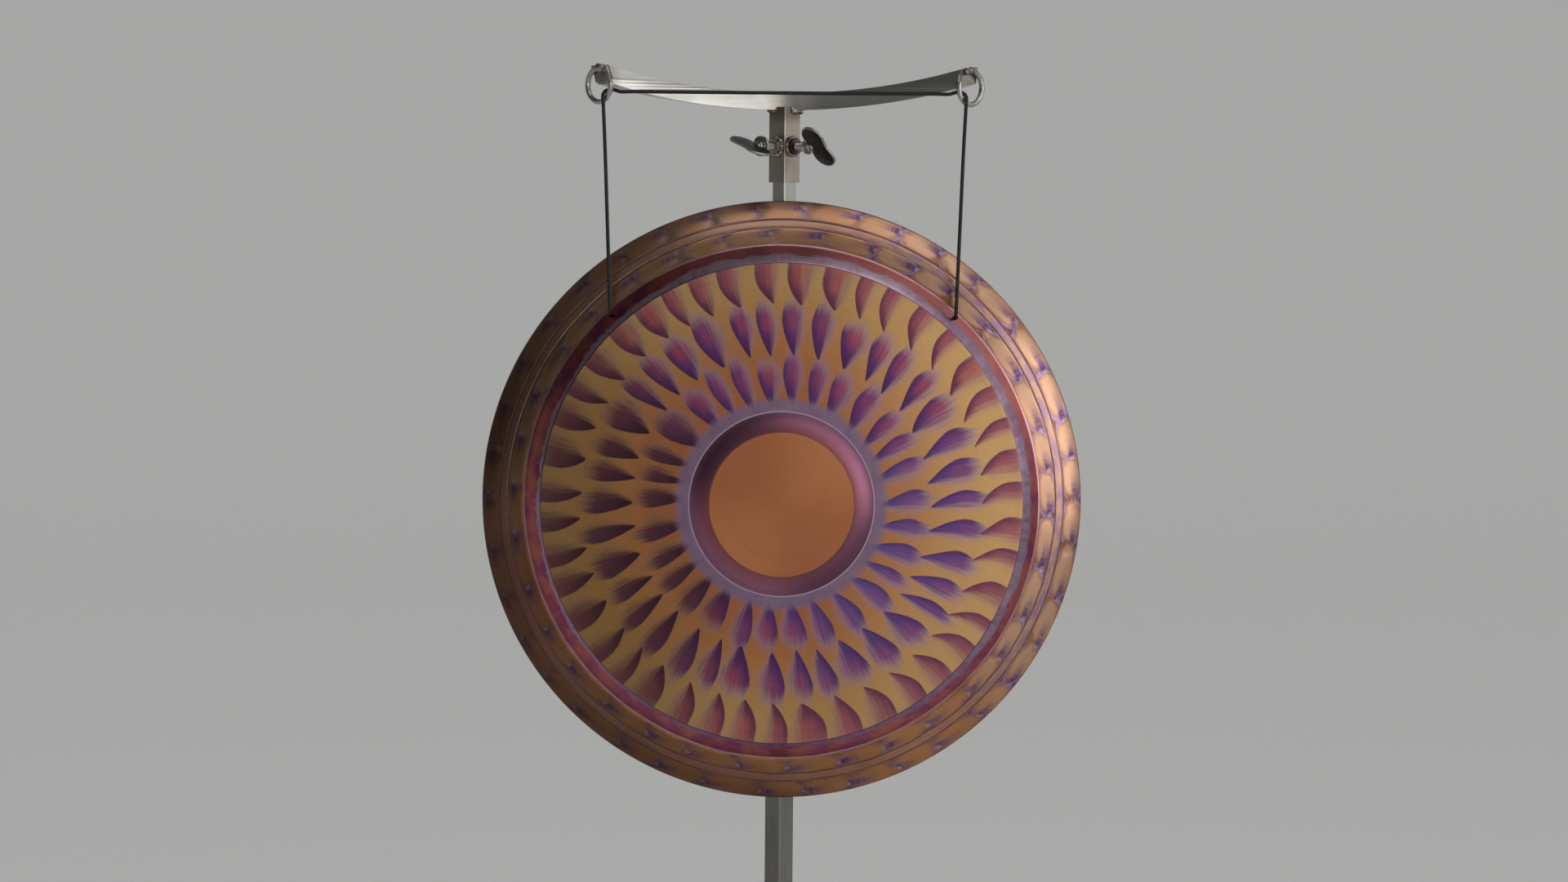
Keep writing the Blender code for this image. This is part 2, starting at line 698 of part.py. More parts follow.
def nut_mesh(name, flats, thickness, bore, start):
    """A hexagonal nut along Z that starts at the given height."""
    corner_radius = flats / 2 / math.cos(math.radians(30))
    outlines = [circle(corner_radius, 6, 30.0), circle(bore / 2, 24)]
    mesh = curve_to_mesh(flat_curve(name, outlines, thickness), name)
    mesh.transform(Matrix.Translation((0, 0, start + thickness / 2)))
    return mesh


def wing_outline():
    """The wing from the side: two round lobes joined by a waist, lengthwise along X."""
    lobe = WING_WIDTH / 2
    reach = WING_LENGTH / 2 - lobe
    outline = []
    for start_angle, centre in ((-125, reach), (55, -reach)):
        for step in range(11):
            angle = math.radians(start_angle + 25 * step)
            outline.append((centre + lobe * math.cos(angle), lobe * math.sin(angle)))
        outline.append((0.0, math.copysign(WING_WAIST / 2, centre)))
    return outline


def make_wing_screw(name, direction, height, turn, tip, joint):
    """A screw along its own Z axis: plain shank, round collar, and a flat wing on its end."""
    steel = metal(name + "_steel", DARK_STEEL, 0.35)
    facing = basis(direction) @ Matrix.Rotation(math.radians(turn), 3, "Z")
    location = (0, 0, height)
    shank_end = WING_FROM_AXIS - WING_WAIST / 2 + OVERLAP
    shank = cylinder_mesh(name, SCREW_RADIUS, tip, shank_end)
    screw = add_part(name, shank, steel, location, facing, joint)
    wing = curve_to_mesh(flat_curve(name + "_wing", [wing_outline()], WING_THICKNESS), name + "_wing")
    wing.transform(Matrix.Rotation(math.radians(90), 4, "X"))
    wing.transform(Matrix.Translation((0, 0, WING_FROM_AXIS)))
    boolean(screw, add_cutter(name + "_wing", wing, location, facing, joint), "UNION")
    start = WASHER_FROM_AXIS + WASHER_THICKNESS + GAP
    collar = cylinder_mesh(name + "_collar", COLLAR_DIAMETER / 2, start, start + COLLAR_THICKNESS)
    boolean(screw, add_cutter(name + "_collar", collar, location, facing, joint), "UNION")
    smooth(screw)


def make_washer(name, direction, height, diameter, joint):
    """The loose round disc on the screw's shank."""
    steel = metal(name + "_steel", STEEL, 0.35)
    outlines = [circle(diameter / 2, 32), circle(SCREW_RADIUS + GAP, 24)]
    mesh = curve_to_mesh(flat_curve(name, outlines, WASHER_THICKNESS), name)
    mesh.transform(Matrix.Translation((0, 0, WASHER_FROM_AXIS + WASHER_THICKNESS / 2)))
    smooth(add_part(name, mesh, steel, (0, 0, height), basis(direction), joint))


def make_clamp(label, direction, height, tube_side, turn, diameter, parent):
    """A welded nut on a tube's face, and the washer and wing screw that go in and out of it."""
    steel = metal("nut_steel_" + label, WELDED_STEEL, 0.4)
    start = tube_side / 2 + GAP
    tip = INNER_POST_SIDE / 2 + GAP
    mesh = nut_mesh("nut_" + label, NUT_ACROSS_FLATS, NUT_THICKNESS, SCREW_HOLE_DIAMETER, start)
    add_part("nut_" + label, mesh, steel, (0, 0, height), basis(direction), parent)
    travel = add_joint("screw_travel_" + label, (0, 0, height), parent)
    make_washer("washer_" + label, direction, height, diameter, travel)
    turning = add_joint("screw_turn_" + label, (0, 0, height), travel)
    make_wing_screw("wing_screw_" + label, direction, height, turn, tip, turning)


def make_inner_post(parent):
    steel = metal("inner_post_steel", STEEL, 0.3)
    turned = Matrix.Rotation(math.radians(45), 3, "Z")
    mesh = square_tube_mesh("inner_post", INNER_POST_SIDE, TUBE_WALL, INNER_POST_LENGTH)
    location = (0, 0, INNER_POST_TOP_Z - INNER_POST_LENGTH / 2)
    smooth(add_part("inner_post", mesh, steel, location, turned, parent))


def make_outer_post():
    """The lower tube, with the clamp screw's hole near its top and the socket bolt's below."""
    steel = metal("outer_post_steel", STEEL, 0.3)
    turned = Matrix.Rotation(math.radians(45), 3, "Z")
    bottom = socket_bottom()
    length = OUTER_POST_TOP_Z - bottom
    mesh = square_tube_mesh("outer_post", OUTER_POST_SIDE, OUTER_POST_WALL, length)
    post = add_part("outer_post", mesh, steel, (0, 0, bottom + length / 2), turned)
    drill = cylinder_mesh("post_screw_hole", SCREW_HOLE_DIAMETER / 2, DRILL_START, DRILL_END)
    boolean(post, add_cutter("post_screw_hole", drill, (0, 0, POST_SCREW_Z), basis(BACK_RIGHT)))
    boolean(post, bolt_hole_cutter("post_bolt_hole"))
    smooth(post)
    return post


def bolt_hole_cutter(name):
    reach = SOCKET_SIDE
    mesh = cylinder_mesh(name, SOCKET_BOLT_DIAMETER / 2 + GAP, -reach, reach)
    return add_cutter(name, mesh, (0, 0, SOCKET_BOLT_Z), basis(BACK_RIGHT))


def socket_bottom():
    """Height of the underside of the socket and the post, level with the legs' undersides."""
    return LEG_CENTRE_Z - LEG_SIDE / 2


def make_base():
    """The socket, four legs square to its faces, and what closes and carries them."""
    steel = metal("base_steel", STEEL, 0.38)
    turned = Matrix.Rotation(math.radians(45), 3, "Z")
    bottom = socket_bottom()
    mesh = square_tube_mesh("base_socket", SOCKET_SIDE, SOCKET_WALL, SOCKET_LENGTH)
    socket = add_part("base_socket", mesh, steel, (0, 0, bottom + SOCKET_LENGTH / 2), turned)
    boolean(socket, bolt_hole_cutter("socket_bolt_hole"))
    smooth(socket)
    make_socket_bolt()
    rubber = new_material("foot_rubber", RUBBER_BLACK, 0.0, 0.8)
    plastic = new_material("plug_plastic", PLASTIC_BLACK, 0.0, 0.5)
    for label, direction in LEG_DIRECTIONS:
        make_leg(label, direction, steel, rubber)
        make_leg_plug(label, direction, plastic)
        make_foot_screw(label, direction, steel)


def make_socket_bolt():
    """The bolt through socket and post, with its nut on the far side."""
    steel = metal("bolt_steel", STEEL, 0.3)
    location = (0, 0, SOCKET_BOLT_Z)
    facing = basis(BACK_RIGHT)
    face = SOCKET_SIDE / 2
    nut_start = -face - GAP - SOCKET_BOLT_NUT_HEIGHT
    tip = nut_start - SOCKET_BOLT_END
    shank = cylinder_mesh("socket_bolt", SOCKET_BOLT_DIAMETER / 2, tip, face + OVERLAP)
    bolt = add_part("socket_bolt", shank, steel, location, facing)
    radius = SOCKET_BOLT_HEAD_FLATS / 2 / math.cos(math.radians(30))
    head_end = face + GAP + SOCKET_BOLT_HEAD_HEIGHT
    head = cylinder_mesh("socket_bolt_head", radius, face + GAP, head_end, 6)
    boolean(bolt, add_cutter("socket_bolt_head", head, location, facing), "UNION")
    smooth(bolt)
    bore = SOCKET_BOLT_DIAMETER + 2 * GAP
    mesh = nut_mesh("socket_nut", SOCKET_BOLT_HEAD_FLATS, SOCKET_BOLT_NUT_HEIGHT, bore, nut_start)
    add_part("socket_nut", mesh, steel, location, facing)


def make_leg(label, direction, steel, rubber):
    """One leg tube from the socket's face outwards, with the rubber foot under its end."""
    start = SOCKET_SIDE / 2 + GAP
    end = LEG_REACH - LEG_PLUG_THICKNESS
    middle = direction * (start + end) / 2
    location = (middle.x, middle.y, LEG_CENTRE_Z)
    mesh = square_tube_mesh("leg_" + label, LEG_SIDE, TUBE_WALL, end - start)
    leg = add_part("leg_" + label, mesh, steel, location, basis(direction))
    foot_location = direction * (LEG_REACH - FOOT_FROM_LEG_END)
    radius = FOOT_SCREW_DIAMETER / 2 + GAP
    hole_end = FOOT_HEIGHT + FOOT_HOLE_ABOVE
    hole = cylinder_mesh("foot_hole_" + label, radius, FOOT_HOLE_START, hole_end, 16)
    drill = add_cutter("foot_hole_" + label, hole, foot_location)
    boolean(leg, drill)
    smooth(leg)
    foot_mesh = cylinder_mesh("foot_" + label, FOOT_DIAMETER / 2, 0.0, FOOT_HEIGHT, 28)
    foot = add_part("foot_" + label, foot_mesh, rubber, foot_location)
    bevel(foot, FOOT_BEVEL)
    boolean(foot, drill)
    smooth(foot)


def make_leg_plug(label, direction, plastic):
    """The square plug in a leg's outer end: a cap as wide as the tube and a tongue inside it."""
    name = "leg_plug_" + label
    along = basis(direction)
    outline = rounded_square(LEG_SIDE, TUBE_WALL * TUBE_CORNER)
    cap = curve_to_mesh(flat_curve(name, [outline], LEG_PLUG_THICKNESS), name)
    centre = direction * (LEG_REACH - LEG_PLUG_THICKNESS / 2 + GAP)
    plug = add_part(name, cap, plastic, (centre.x, centre.y, LEG_CENTRE_Z), along)
    side = LEG_SIDE - 2 * TUBE_WALL - 2 * GAP
    length = LEG_PLUG_TONGUE + OVERLAP
    tongue = box_mesh(name + "_tongue", (side, side, length))
    middle = direction * (LEG_REACH - LEG_PLUG_THICKNESS + GAP + OVERLAP - length / 2)
    tongue_piece = add_cutter(name + "_tongue", tongue, (middle.x, middle.y, LEG_CENTRE_Z), along)
    boolean(plug, tongue_piece, "UNION")
    smooth(plug)


def make_foot_screw(label, direction, steel):
    """The screw that holds a foot, from inside the leg into the rubber."""
    head_start = LEG_CENTRE_Z - LEG_SIDE / 2 + TUBE_WALL + GAP
    head_end = head_start + FOOT_SCREW_HEAD_HEIGHT
    shank = FOOT_SCREW_DIAMETER / 2
    head = FOOT_SCREW_HEAD_DIAMETER / 2
    low = FOOT_HOLE_START + GAP
    profile = [(0, head_end), (head, head_end), (head, head_start)]
    profile += [(shank, head_start), (shank, low), (0, low)]
    name = "foot_screw_" + label
    mesh = turned_mesh(name, profile, 16)
    smooth(add_part(name, mesh, steel, direction * (LEG_REACH - FOOT_FROM_LEG_END)))


SIDES = (("left", -1), ("right", 1))
LEG_DIRECTIONS = (
    ("front_left", FRONT_LEFT),
    ("front_right", FRONT_RIGHT),
    ("back_left", BACK_LEFT),
    ("back_right", BACK_RIGHT),
)

clear_scene()
PARTS = new_collection("hand_gong")
CUTTERS = new_collection("cutters")
post_slide = add_joint("post_height", (0, 0, OUTER_POST_TOP_Z))
head_slide = add_joint("head_height", (0, 0, INNER_POST_TOP_Z), post_slide)
cord_end = DROP_ROUTE[-1]
gong_swing = add_joint("gong_swing", (0, cord_end[1], cord_end[2] - CORD_RADIUS), head_slide)
make_base()
make_outer_post()
make_inner_post(post_slide)
make_sleeve(head_slide)
make_crossbar(head_slide)
for side_label, side_sign in SIDES:
    make_hook(side_label, side_sign, head_slide)
HEAD_CLAMP = (HEAD_SCREW_Z, SLEEVE_SIDE)
POST_CLAMP = (POST_SCREW_Z, OUTER_POST_SIDE)
make_clamp("left", FRONT_LEFT, *HEAD_CLAMP, WING_TURN_LEFT, WASHER_DIAMETER_WIDE, head_slide)
make_clamp("right", FRONT_RIGHT, *HEAD_CLAMP, WING_TURN_RIGHT, WASHER_DIAMETER_NARROW, head_slide)
make_clamp("post", BACK_RIGHT, *POST_CLAMP, WING_TURN_POST, WASHER_DIAMETER_NARROW, None)
make_cord(head_slide, gong_swing)
make_gong(gong_swing)
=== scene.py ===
"""The looks of a heat-tinted hammered gong that hangs from the bent crossbar of a post stand.

Metres, +Z up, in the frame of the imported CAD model: the gong faces -Y, and +X is to the right of
someone who looks at its face.
"""

import math

import bmesh
import bpy
from mathutils import Matrix, Vector


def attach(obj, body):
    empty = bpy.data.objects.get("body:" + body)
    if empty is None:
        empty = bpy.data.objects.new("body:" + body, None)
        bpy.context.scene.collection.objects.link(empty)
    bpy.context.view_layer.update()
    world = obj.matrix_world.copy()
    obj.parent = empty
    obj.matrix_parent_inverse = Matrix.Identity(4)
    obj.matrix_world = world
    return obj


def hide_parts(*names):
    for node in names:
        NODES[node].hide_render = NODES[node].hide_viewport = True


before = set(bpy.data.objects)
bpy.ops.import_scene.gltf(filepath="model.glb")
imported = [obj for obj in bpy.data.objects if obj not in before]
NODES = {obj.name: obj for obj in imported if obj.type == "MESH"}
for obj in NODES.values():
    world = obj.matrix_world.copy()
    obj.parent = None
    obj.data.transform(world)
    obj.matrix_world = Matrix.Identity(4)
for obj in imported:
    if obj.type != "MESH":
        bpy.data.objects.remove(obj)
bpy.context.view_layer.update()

# Camera: at eye height, tilted down onto the gong
IMAGE_WIDTH = 1920
SENSOR_WIDTH = 36.0
FOCAL_PIXELS = 4697
CAMERA_PLACE = (-0.0015, -4.5, 1.4192)
CAMERA_DOWN = 3.942
CAMERA_YAW = -0.049
CAMERA_ROLL = 0.459

# Gong: centre, and radii and depths behind the face
GONG_CENTRE = Vector((0.0, -0.0769, 1.041))
RADIUS = 0.350
WALL = 0.002
BOSS_TOP = 0.0835
BOSS_FOOT = 0.107
BOSS_HEIGHT = 0.008
FACE_RADIUS = 0.279
CREASE_RADIUS = 0.299
CREASE_DEPTH = 0.024
EDGE_DEPTH = 0.050
LIP_DEPTH = 0.060
LIP_INSET = 0.003
GROOVES = (0.3192, 0.3285)
GROOVE_DEPTH = 0.0006
GROOVE_WIDTH = 0.0022
OUTER_LOBES = 38
INNER_LOBES = 34
STEPS_PER_LOBE = 14
EDGE_ROW = 0.0005
CORD_HOLE = (0.200, 0.2175)
CORD_HOLE_RADIUS = 0.0026

CORD_DIAMETER = 0.0043
KNOT_CENTRE = (0.200, -0.0462, 1.2585)
KNOT_SCALE = 0.0019
DROP_ROUTE = (
    (0.2000, -0.0508, 1.2585),
    (0.2000, -0.0560, 1.2585),
    (0.2000, -0.0605, 1.2592),
    (0.2000, -0.0640, 1.2622),
    (0.2002, -0.0647, 1.2680),
    (0.2008, -0.0622, 1.2800),
    (0.2048, -0.0437, 1.3700),
    (0.2084, -0.0274, 1.4500),
    (0.2108, -0.0190, 1.4950),
    (0.2113, -0.0183, 1.5065),
)
BRIDGE_ROUTE = (
    (0.2114, -0.0183, 1.5072),
    (0.2117, -0.0177, 1.5100),
    (0.2113, -0.0158, 1.5136),
    (0.2093, -0.0136, 1.5168),
    (0.2056, -0.0117, 1.5187),
    (0.2007, -0.0108, 1.5189),
    (0.1963, -0.0112, 1.5178),
    (0.1900, -0.0131, 1.5164),
    (0.1700, -0.0137, 1.5167),
    (0.1200, -0.0133, 1.5166),
    (0.0600, -0.0130, 1.5165),
    (0.0000, -0.0128, 1.5165),
)
SIDES = (("left", -1), ("right", 1))
KNOT_STEPS = 90

# Head, clamps and base, as in the CAD model
DIAGONAL = math.sqrt(0.5)
CROSSBAR_UNDERSIDE = 1.4967
CROSSBAR_SIDE = 0.020
CROSSBAR_HALF_LENGTH = 0.2125
SLEEVE_SIDE = 0.026
SLEEVE_RISE = 0.0035
HEAD_SCREW_Z = 1.4543
POST_SCREW_Z = 0.915
OUTER_POST_SIDE = 0.025
NUT_ACROSS_FLATS = 0.017
SCREW_RADIUS = 0.0047
THREAD_PITCH = 0.0015
WASHER_FROM_AXIS = 0.0370
WASHER_THICKNESS = 0.0028
COLLAR_RADIUS = 0.0063
WING_FROM_AXIS = 0.056
WING_LENGTH = 0.0585
WING_WIDTH = 0.0300
WING_WAIST = 0.0260
WING_THICKNESS = 0.0035
HOOK_AWAY = 0.00585
HOOK_RING_RADIUS = 0.01985
HOOK_CENTRE_Z = 1.5245
HOOK_WELD_DEGREES = (60, 70, 80, 90, 100, 108)
SOCKET_SIDE = 0.030
LEG_SIDE = 0.025
LEG_CENTRE_Z = 0.0268

# The world's strength by the X of the direction: -1 is the far left, 1 the far right
FLOOR_REACH = 50.0
SWEEP_START = 9.0
SWEEP = 4.0
BACKDROP_TOP = 12.0
BACKDROP_GLOW = 0.20
LAMP_SPREAD = 140.0
WORLD_LEVELS = ((-1.0, 0.085), (-0.4, 0.09), (0.0, 0.165), (0.5, 0.48), (1.0, 0.72))

# Rings of torch strokes on the face, from the middle out. A stroke is a petal with its tip inwards.
# fill is the share of its room that it takes up, and the ramp's stops run from tip to outer end.
PETAL_RINGS = (
    dict(
        count=30, low=0.1100, high=0.1810, fill=1.00, slim=0.96, seed=11.0, soft=(0.48, 0.98), open_end=False,
        stops=((0.0, (0.070, 0.026, 0.110)), (0.4, (0.140, 0.040, 0.180)), (0.8, (0.240, 0.075, 0.210))),
        core=(0.380, 0.070, 0.130), halo=(0.330, 0.240, 0.390), blue=(0.150, 0.120, 0.360),
    ),
    dict(
        count=38, low=0.1710, high=0.2430, fill=1.02, slim=0.94, seed=7.0, soft=(0.50, 0.98), open_end=False,
        stops=((0.0, (0.060, 0.020, 0.085)), (0.4, (0.150, 0.040, 0.180)), (0.8, (0.260, 0.075, 0.200))),
        core=(0.400, 0.080, 0.110), halo=(0.340, 0.245, 0.370), blue=(0.165, 0.095, 0.340),
    ),
    dict(
        count=43, low=0.2310, high=0.2810, fill=0.84, slim=0.82, seed=3.0, soft=(0.38, 0.98), open_end=True,
        stops=((0.0, (0.105, 0.028, 0.062)), (0.4, (0.200, 0.052, 0.105)), (0.8, (0.330, 0.100, 0.145))),
        core=(0.450, 0.115, 0.105), halo=(0.405, 0.215, 0.215), blue=(0.300, 0.095, 0.150),
    ),
)
# Painted shade: darker copies of the strokes' tip, body and halo colours for the left of the face.
LEFT_SHADE_TIP = (0.045, 0.016, 0.022)
LEFT_SHADE = (0.100, 0.042, 0.050)
LEFT_SHADE_HALO = (0.230, 0.140, 0.085)


class Paint:
    """One node material. Each call adds nodes and returns the output that the next call takes."""

    def __init__(self, name, **shader):
        self.material = bpy.data.materials.new(name)
        self.material.use_nodes = True
        self.tree = self.material.node_tree
        self.shader = self.tree.nodes["Principled BSDF"]
        for label, value in shader.items():
            self.feed(self.shader.inputs[label.replace("_", " ")], value)

    def feed(self, socket, value):
        if isinstance(value, bpy.types.NodeSocket):
            self.tree.links.new(value, socket)
        elif socket.type == "RGBA" and len(value) == 3:
            socket.default_value = (*value, 1.0)
        else:
            socket.default_value = value

    def node(self, kind, inputs, **settings):
        made = self.tree.nodes.new("ShaderNode" + kind)
        for name, value in settings.items():
            setattr(made, name, value)
        for key, value in inputs.items():
            self.feed(made.inputs[key], value)
        return made

    def math(self, operation, *values):
        return self.node("Math", dict(enumerate(values)), operation=operation).outputs[0]

    def add(self, first, *others):
        for other in others:
            first = self.math("ADD", first, other)
        return first

    def sub(self, first, second):
        return self.math("SUBTRACT", first, second)

    def mul(self, first, *others):
        for other in others:
            first = self.math("MULTIPLY", first, other)
        return first

    def around_zero(self, value, size):
        """A noise value, moved from 0 to 1 to plus and minus half the size."""
        return self.mul(self.sub(value, 0.5), size)

    def place(self):
        """The point in the piece's own frame."""
        return self.node("TexCoord", {}).outputs["Object"]

    def axes(self, vector):
        split = self.node("SeparateXYZ", {0: vector})
        return split.outputs[0], split.outputs[1], split.outputs[2]

    def join(self, x, y, z):
        return self.node("CombineXYZ", {0: x, 1: y, 2: z}).outputs[0]

    def scaled(self, vector, scale, turn=(0, 0, 0)):
        inputs = {"Vector": vector, "Scale": scale, "Rotation": turn}
        return self.node("Mapping", inputs).outputs[0]

    def noise(self, vector, scale, detail=3.0, roughness=0.55):
        inputs = {"Vector": vector, "Scale": scale, "Detail": detail, "Roughness": roughness}
        return self.node("TexNoise", inputs).outputs[0]

    def ease(self, value, low, high, to_low=0.0, to_high=1.0):
        inputs = {0: value, 1: low, 2: high, 3: to_low, 4: to_high}
        return self.node("MapRange", inputs, interpolation_type="SMOOTHSTEP").outputs[0]

    def window(self, value, low, high, soft):
        """1 between low and high, easing to 0 over soft on both sides."""
        up = self.ease(value, low - soft, low + soft)
        down = self.ease(value, high - soft, high + soft)
        return self.math("SUBTRACT", up, down)

    def mix(self, share, first, second, blend="MIX"):
        made = self.node("Mix", {0: share, 6: first, 7: second}, data_type="RGBA", blend_type=blend)
        return made.outputs[2]

    def ramp(self, value, stops):
        made = self.node("ValToRGB", {0: value})
        elements = made.color_ramp.elements
        while len(elements) < len(stops):
            elements.new(0.5)
        for element, (position, colour) in zip(elements, stops):
            element.position = position
            element.color = (*colour, 1.0)
        return made.outputs[0]

    def bump(self, height):
        """Relief from a height in metres."""
        made = self.node("Bump", {"Strength": 1.0, "Distance": 1.0, "Height": height})
        self.feed(self.shader.inputs["Normal"], made.outputs[0])

    def set(self, **sockets):
        for label, value in sockets.items():
            self.feed(self.shader.inputs[label.replace("_", " ")], value)
        return self.material


def polar(paint):
    """Radius, angle as a share of a turn, and the direction from the centre, in the gong's frame."""
    x, _, z = paint.axes(paint.place())
    radius = paint.math("SQRT", paint.math("ADD", paint.math("MULTIPLY", x, x), paint.math("MULTIPLY", z, z)))
    turn = paint.math("FRACT", paint.math("DIVIDE", paint.math("ARCTAN2", z, x), 2 * math.pi))
    safe = paint.math("MAXIMUM", radius, 0.001)
    return radius, turn, paint.math("DIVIDE", x, safe), paint.math("DIVIDE", z, safe)


def polar_noise(paint, polars, around, along, detail=2.0):
    """Noise with its own fineness round the centre and along the radius."""
    radius, _, across, up = polars
    where = paint.join(paint.mul(across, around), paint.mul(up, around), paint.mul(radius, along))
    return paint.noise(where, 1.0, detail)


def petals(paint, polars, ring):
    """A ring of torch strokes: how much of the stroke and of its halo a point has, and where in it.

    Each stroke has a crisp, bulging side and a side that fades out in fine hairs. A ring with an
    open end runs on to the edge of the face, and the others end in a soft round."""
    radius, turn, across, up = polars
    facing = paint.join(across, up, ring["seed"])
    uneven = paint.around_zero(paint.noise(facing, 5.0, 1.0), 0.010)
    share = paint.math("DIVIDE", paint.sub(paint.sub(radius, ring["low"]), uneven), ring["high"] - ring["low"])
    left = paint.math("MAXIMUM", paint.sub(1.0, share), 0.0)
    grown = paint.math("MAXIMUM", paint.sub(1.0, paint.math("POWER", left, 2.9)), 0.0)
    wobble = paint.around_zero(paint.noise(facing, 2.6, 1.0), 0.9)
    lean = paint.sub(-0.58, paint.mul(across, 0.16))
    rounding = 0.10 if ring["open_end"] else 0.34
    crest = paint.sub(grown, paint.ease(share, 0.50, 1.05, 0.0, rounding))
    place = paint.add(paint.mul(turn, ring["count"]), wobble, paint.mul(crest, lean))
    number = paint.math("FLOORED_MODULO", paint.math("FLOOR", place), ring["count"])
    seeded = paint.add(number, ring["seed"] * 7.3)
    chance = paint.node("TexWhiteNoise", {"W": seeded}, noise_dimensions="1D").outputs[0]
    hairs = paint.around_zero(polar_noise(paint, polars, 150.0, 26.0), 1.0)
    tufts = paint.around_zero(polar_noise(paint, polars, 60.0, 20.0), 1.0)
    ragged = paint.add(paint.mul(hairs, 0.6), paint.mul(tufts, 0.6))
    fill = paint.add(ring["fill"], paint.around_zero(chance, 0.34))
    fill = paint.mul(fill, paint.ease(across, 0.2, 0.9, 1.0, ring["slim"]))
    narrowing = 0.0 if ring["open_end"] else 0.42
    leaf = paint.sub(grown, paint.ease(share, 0.45, 1.05, 0.0, narrowing))
    width = paint.add(paint.mul(leaf, fill), 0.02)
    side = paint.math("DIVIDE", paint.sub(1.0, paint.math("FRACT", place)), width)
    frayed = paint.add(side, paint.mul(ragged, 0.62))
    off = paint.sub(side, 0.35)
    end = paint.add(share, paint.mul(paint.mul(off, off), 0.42), paint.mul(ragged, 0.34))
    end = paint.add(end, paint.around_zero(chance, 0.20))
    start = paint.mul(paint.ease(share, 0.0, 0.05), paint.ease(side, 0.0, 0.06))
    if ring["open_end"]:
        body_end = paint.ease(end, 0.75, 1.35, 1.0, 0.45)
        halo_end = 1.0
    else:
        body_end = paint.ease(end, 0.64, 0.92, 1.0, 0.0)
        halo_end = paint.ease(end, 0.76, 1.06, 1.0, 0.0)
    body = paint.mul(paint.ease(frayed, ring["soft"][0], ring["soft"][1], 1.0, 0.0), body_end, start)
    halo = paint.mul(paint.ease(frayed, 0.70, 1.22, 1.0, 0.0), halo_end, start)
    return body, halo, share, side, chance


def add_petals(paint, polars, colour, leftward, bluish):
    """Paints the three rings, each over the one inside it, with painted shade towards the left."""
    for ring in PETAL_RINGS:
        body, halo, share, side, chance = petals(paint, polars, ring)
        stroke = paint.ramp(share, ring["stops"])
        hot = paint.window(share, 0.42, 1.3 if ring["open_end"] else 0.76, 0.16)
        hot = paint.mul(hot, paint.window(side, 0.24, 0.74, 0.20), paint.ease(chance, 0.0, 1.0, 0.35, 1.0))
        stroke = paint.mix(hot, stroke, ring["core"])
        stroke = paint.mix(paint.mul(bluish, 0.55), stroke, ring["blue"])
        dark_side = paint.mul(paint.ease(side, 0.0, 0.40, 1.0, 0.0), 0.60)
        stroke = paint.mix(dark_side, stroke, ring["stops"][0][1])
        grain = paint.ease(polar_noise(paint, polars, 130.0, 22.0), 0.35, 0.70, 0.0, 0.35)
        stroke = paint.mix(grain, stroke, ring["stops"][0][1])
        # Painted shade: towards the left, strokes and halos turn to their darker copies.
        shaded_stroke = paint.ramp(share, ((0.1, LEFT_SHADE_TIP), (0.8, LEFT_SHADE)))
        stroke = paint.mix(paint.mul(leftward, 0.90), stroke, shaded_stroke)
        fringe = paint.mix(leftward, ring["halo"], LEFT_SHADE_HALO)
        colour = paint.mix(paint.mul(halo, 0.54), colour, fringe)
        colour = paint.mix(paint.mul(body, 0.96), colour, stroke)
    return colour


def add_boss(paint, polars, colour, bowtie_sheen):
    """The lilac band round the boss with its brushed edge, the boss's wall in painted light and shade, the disc with a
    painted sheen, and a painted highlight line at the boss's foot.

    Its last argument is a painted bow-tie reflection: 1 towards upper right and lower left, and -1 between them."""
    radius = polars[0]
    brushed = paint.around_zero(polar_noise(paint, polars, 190.0, 50.0), 0.016)
    edge = paint.add(radius, brushed, paint.around_zero(polar_noise(paint, polars, 6.0, 8.0), 0.006))
    band = paint.mix(polar_noise(paint, polars, 5.0, 60.0), (0.185, 0.115, 0.215), (0.300, 0.215, 0.310))
    colour = paint.mix(paint.mul(paint.ease(edge, 0.117, 0.127, 1.0, 0.0), 0.92), colour, band)
    share = paint.math("DIVIDE", paint.sub(radius, BOSS_TOP), BOSS_FOOT - BOSS_TOP)
    # Painted light and shade: a lit and an unlit copy of the wall's colours, picked by the bow-tie sheen.
    lit = paint.ramp(
        share,
        ((0.0, (0.26, 0.085, 0.070)), (0.2, (0.32, 0.115, 0.145)), (0.6, (0.36, 0.140, 0.225)), (1.0, (0.24, 0.110, 0.180))),
    )
    unlit = paint.ramp(
        share,
        ((0.0, (0.17, 0.065, 0.065)), (0.3, (0.20, 0.080, 0.120)), (0.7, (0.15, 0.062, 0.105)), (1.0, (0.12, 0.055, 0.080))),
    )
    hatch = paint.around_zero(polar_noise(paint, polars, 170.0, 30.0), 0.5)
    wall_colour = paint.mix(paint.ease(paint.add(bowtie_sheen, hatch), -0.9, 0.5), unlit, lit)
    colour = paint.mix(paint.window(radius, BOSS_TOP, BOSS_FOOT, 0.0006), colour, wall_colour)
    # Painted sheen: the disc is lighter along the bow-tie, more so towards its edge.
    disc_sheen = paint.ease(paint.mul(bowtie_sheen, paint.mul(radius, 1.0 / BOSS_TOP)), -0.6, 0.9)
    disc = paint.mix(disc_sheen, (0.445, 0.160, 0.069), (0.530, 0.205, 0.088))
    colour = paint.mix(paint.ease(radius, BOSS_TOP - 0.0006, BOSS_TOP + 0.0006, 1.0, 0.0), colour, disc)
    # Painted highlight: a thin bright line round the boss's foot.
    foot_highlight = paint.window(radius, BOSS_FOOT - 0.0002, BOSS_FOOT + 0.0010, 0.0004)
    return paint.mix(paint.mul(foot_highlight, 0.75), colour, (0.560, 0.450, 0.520))


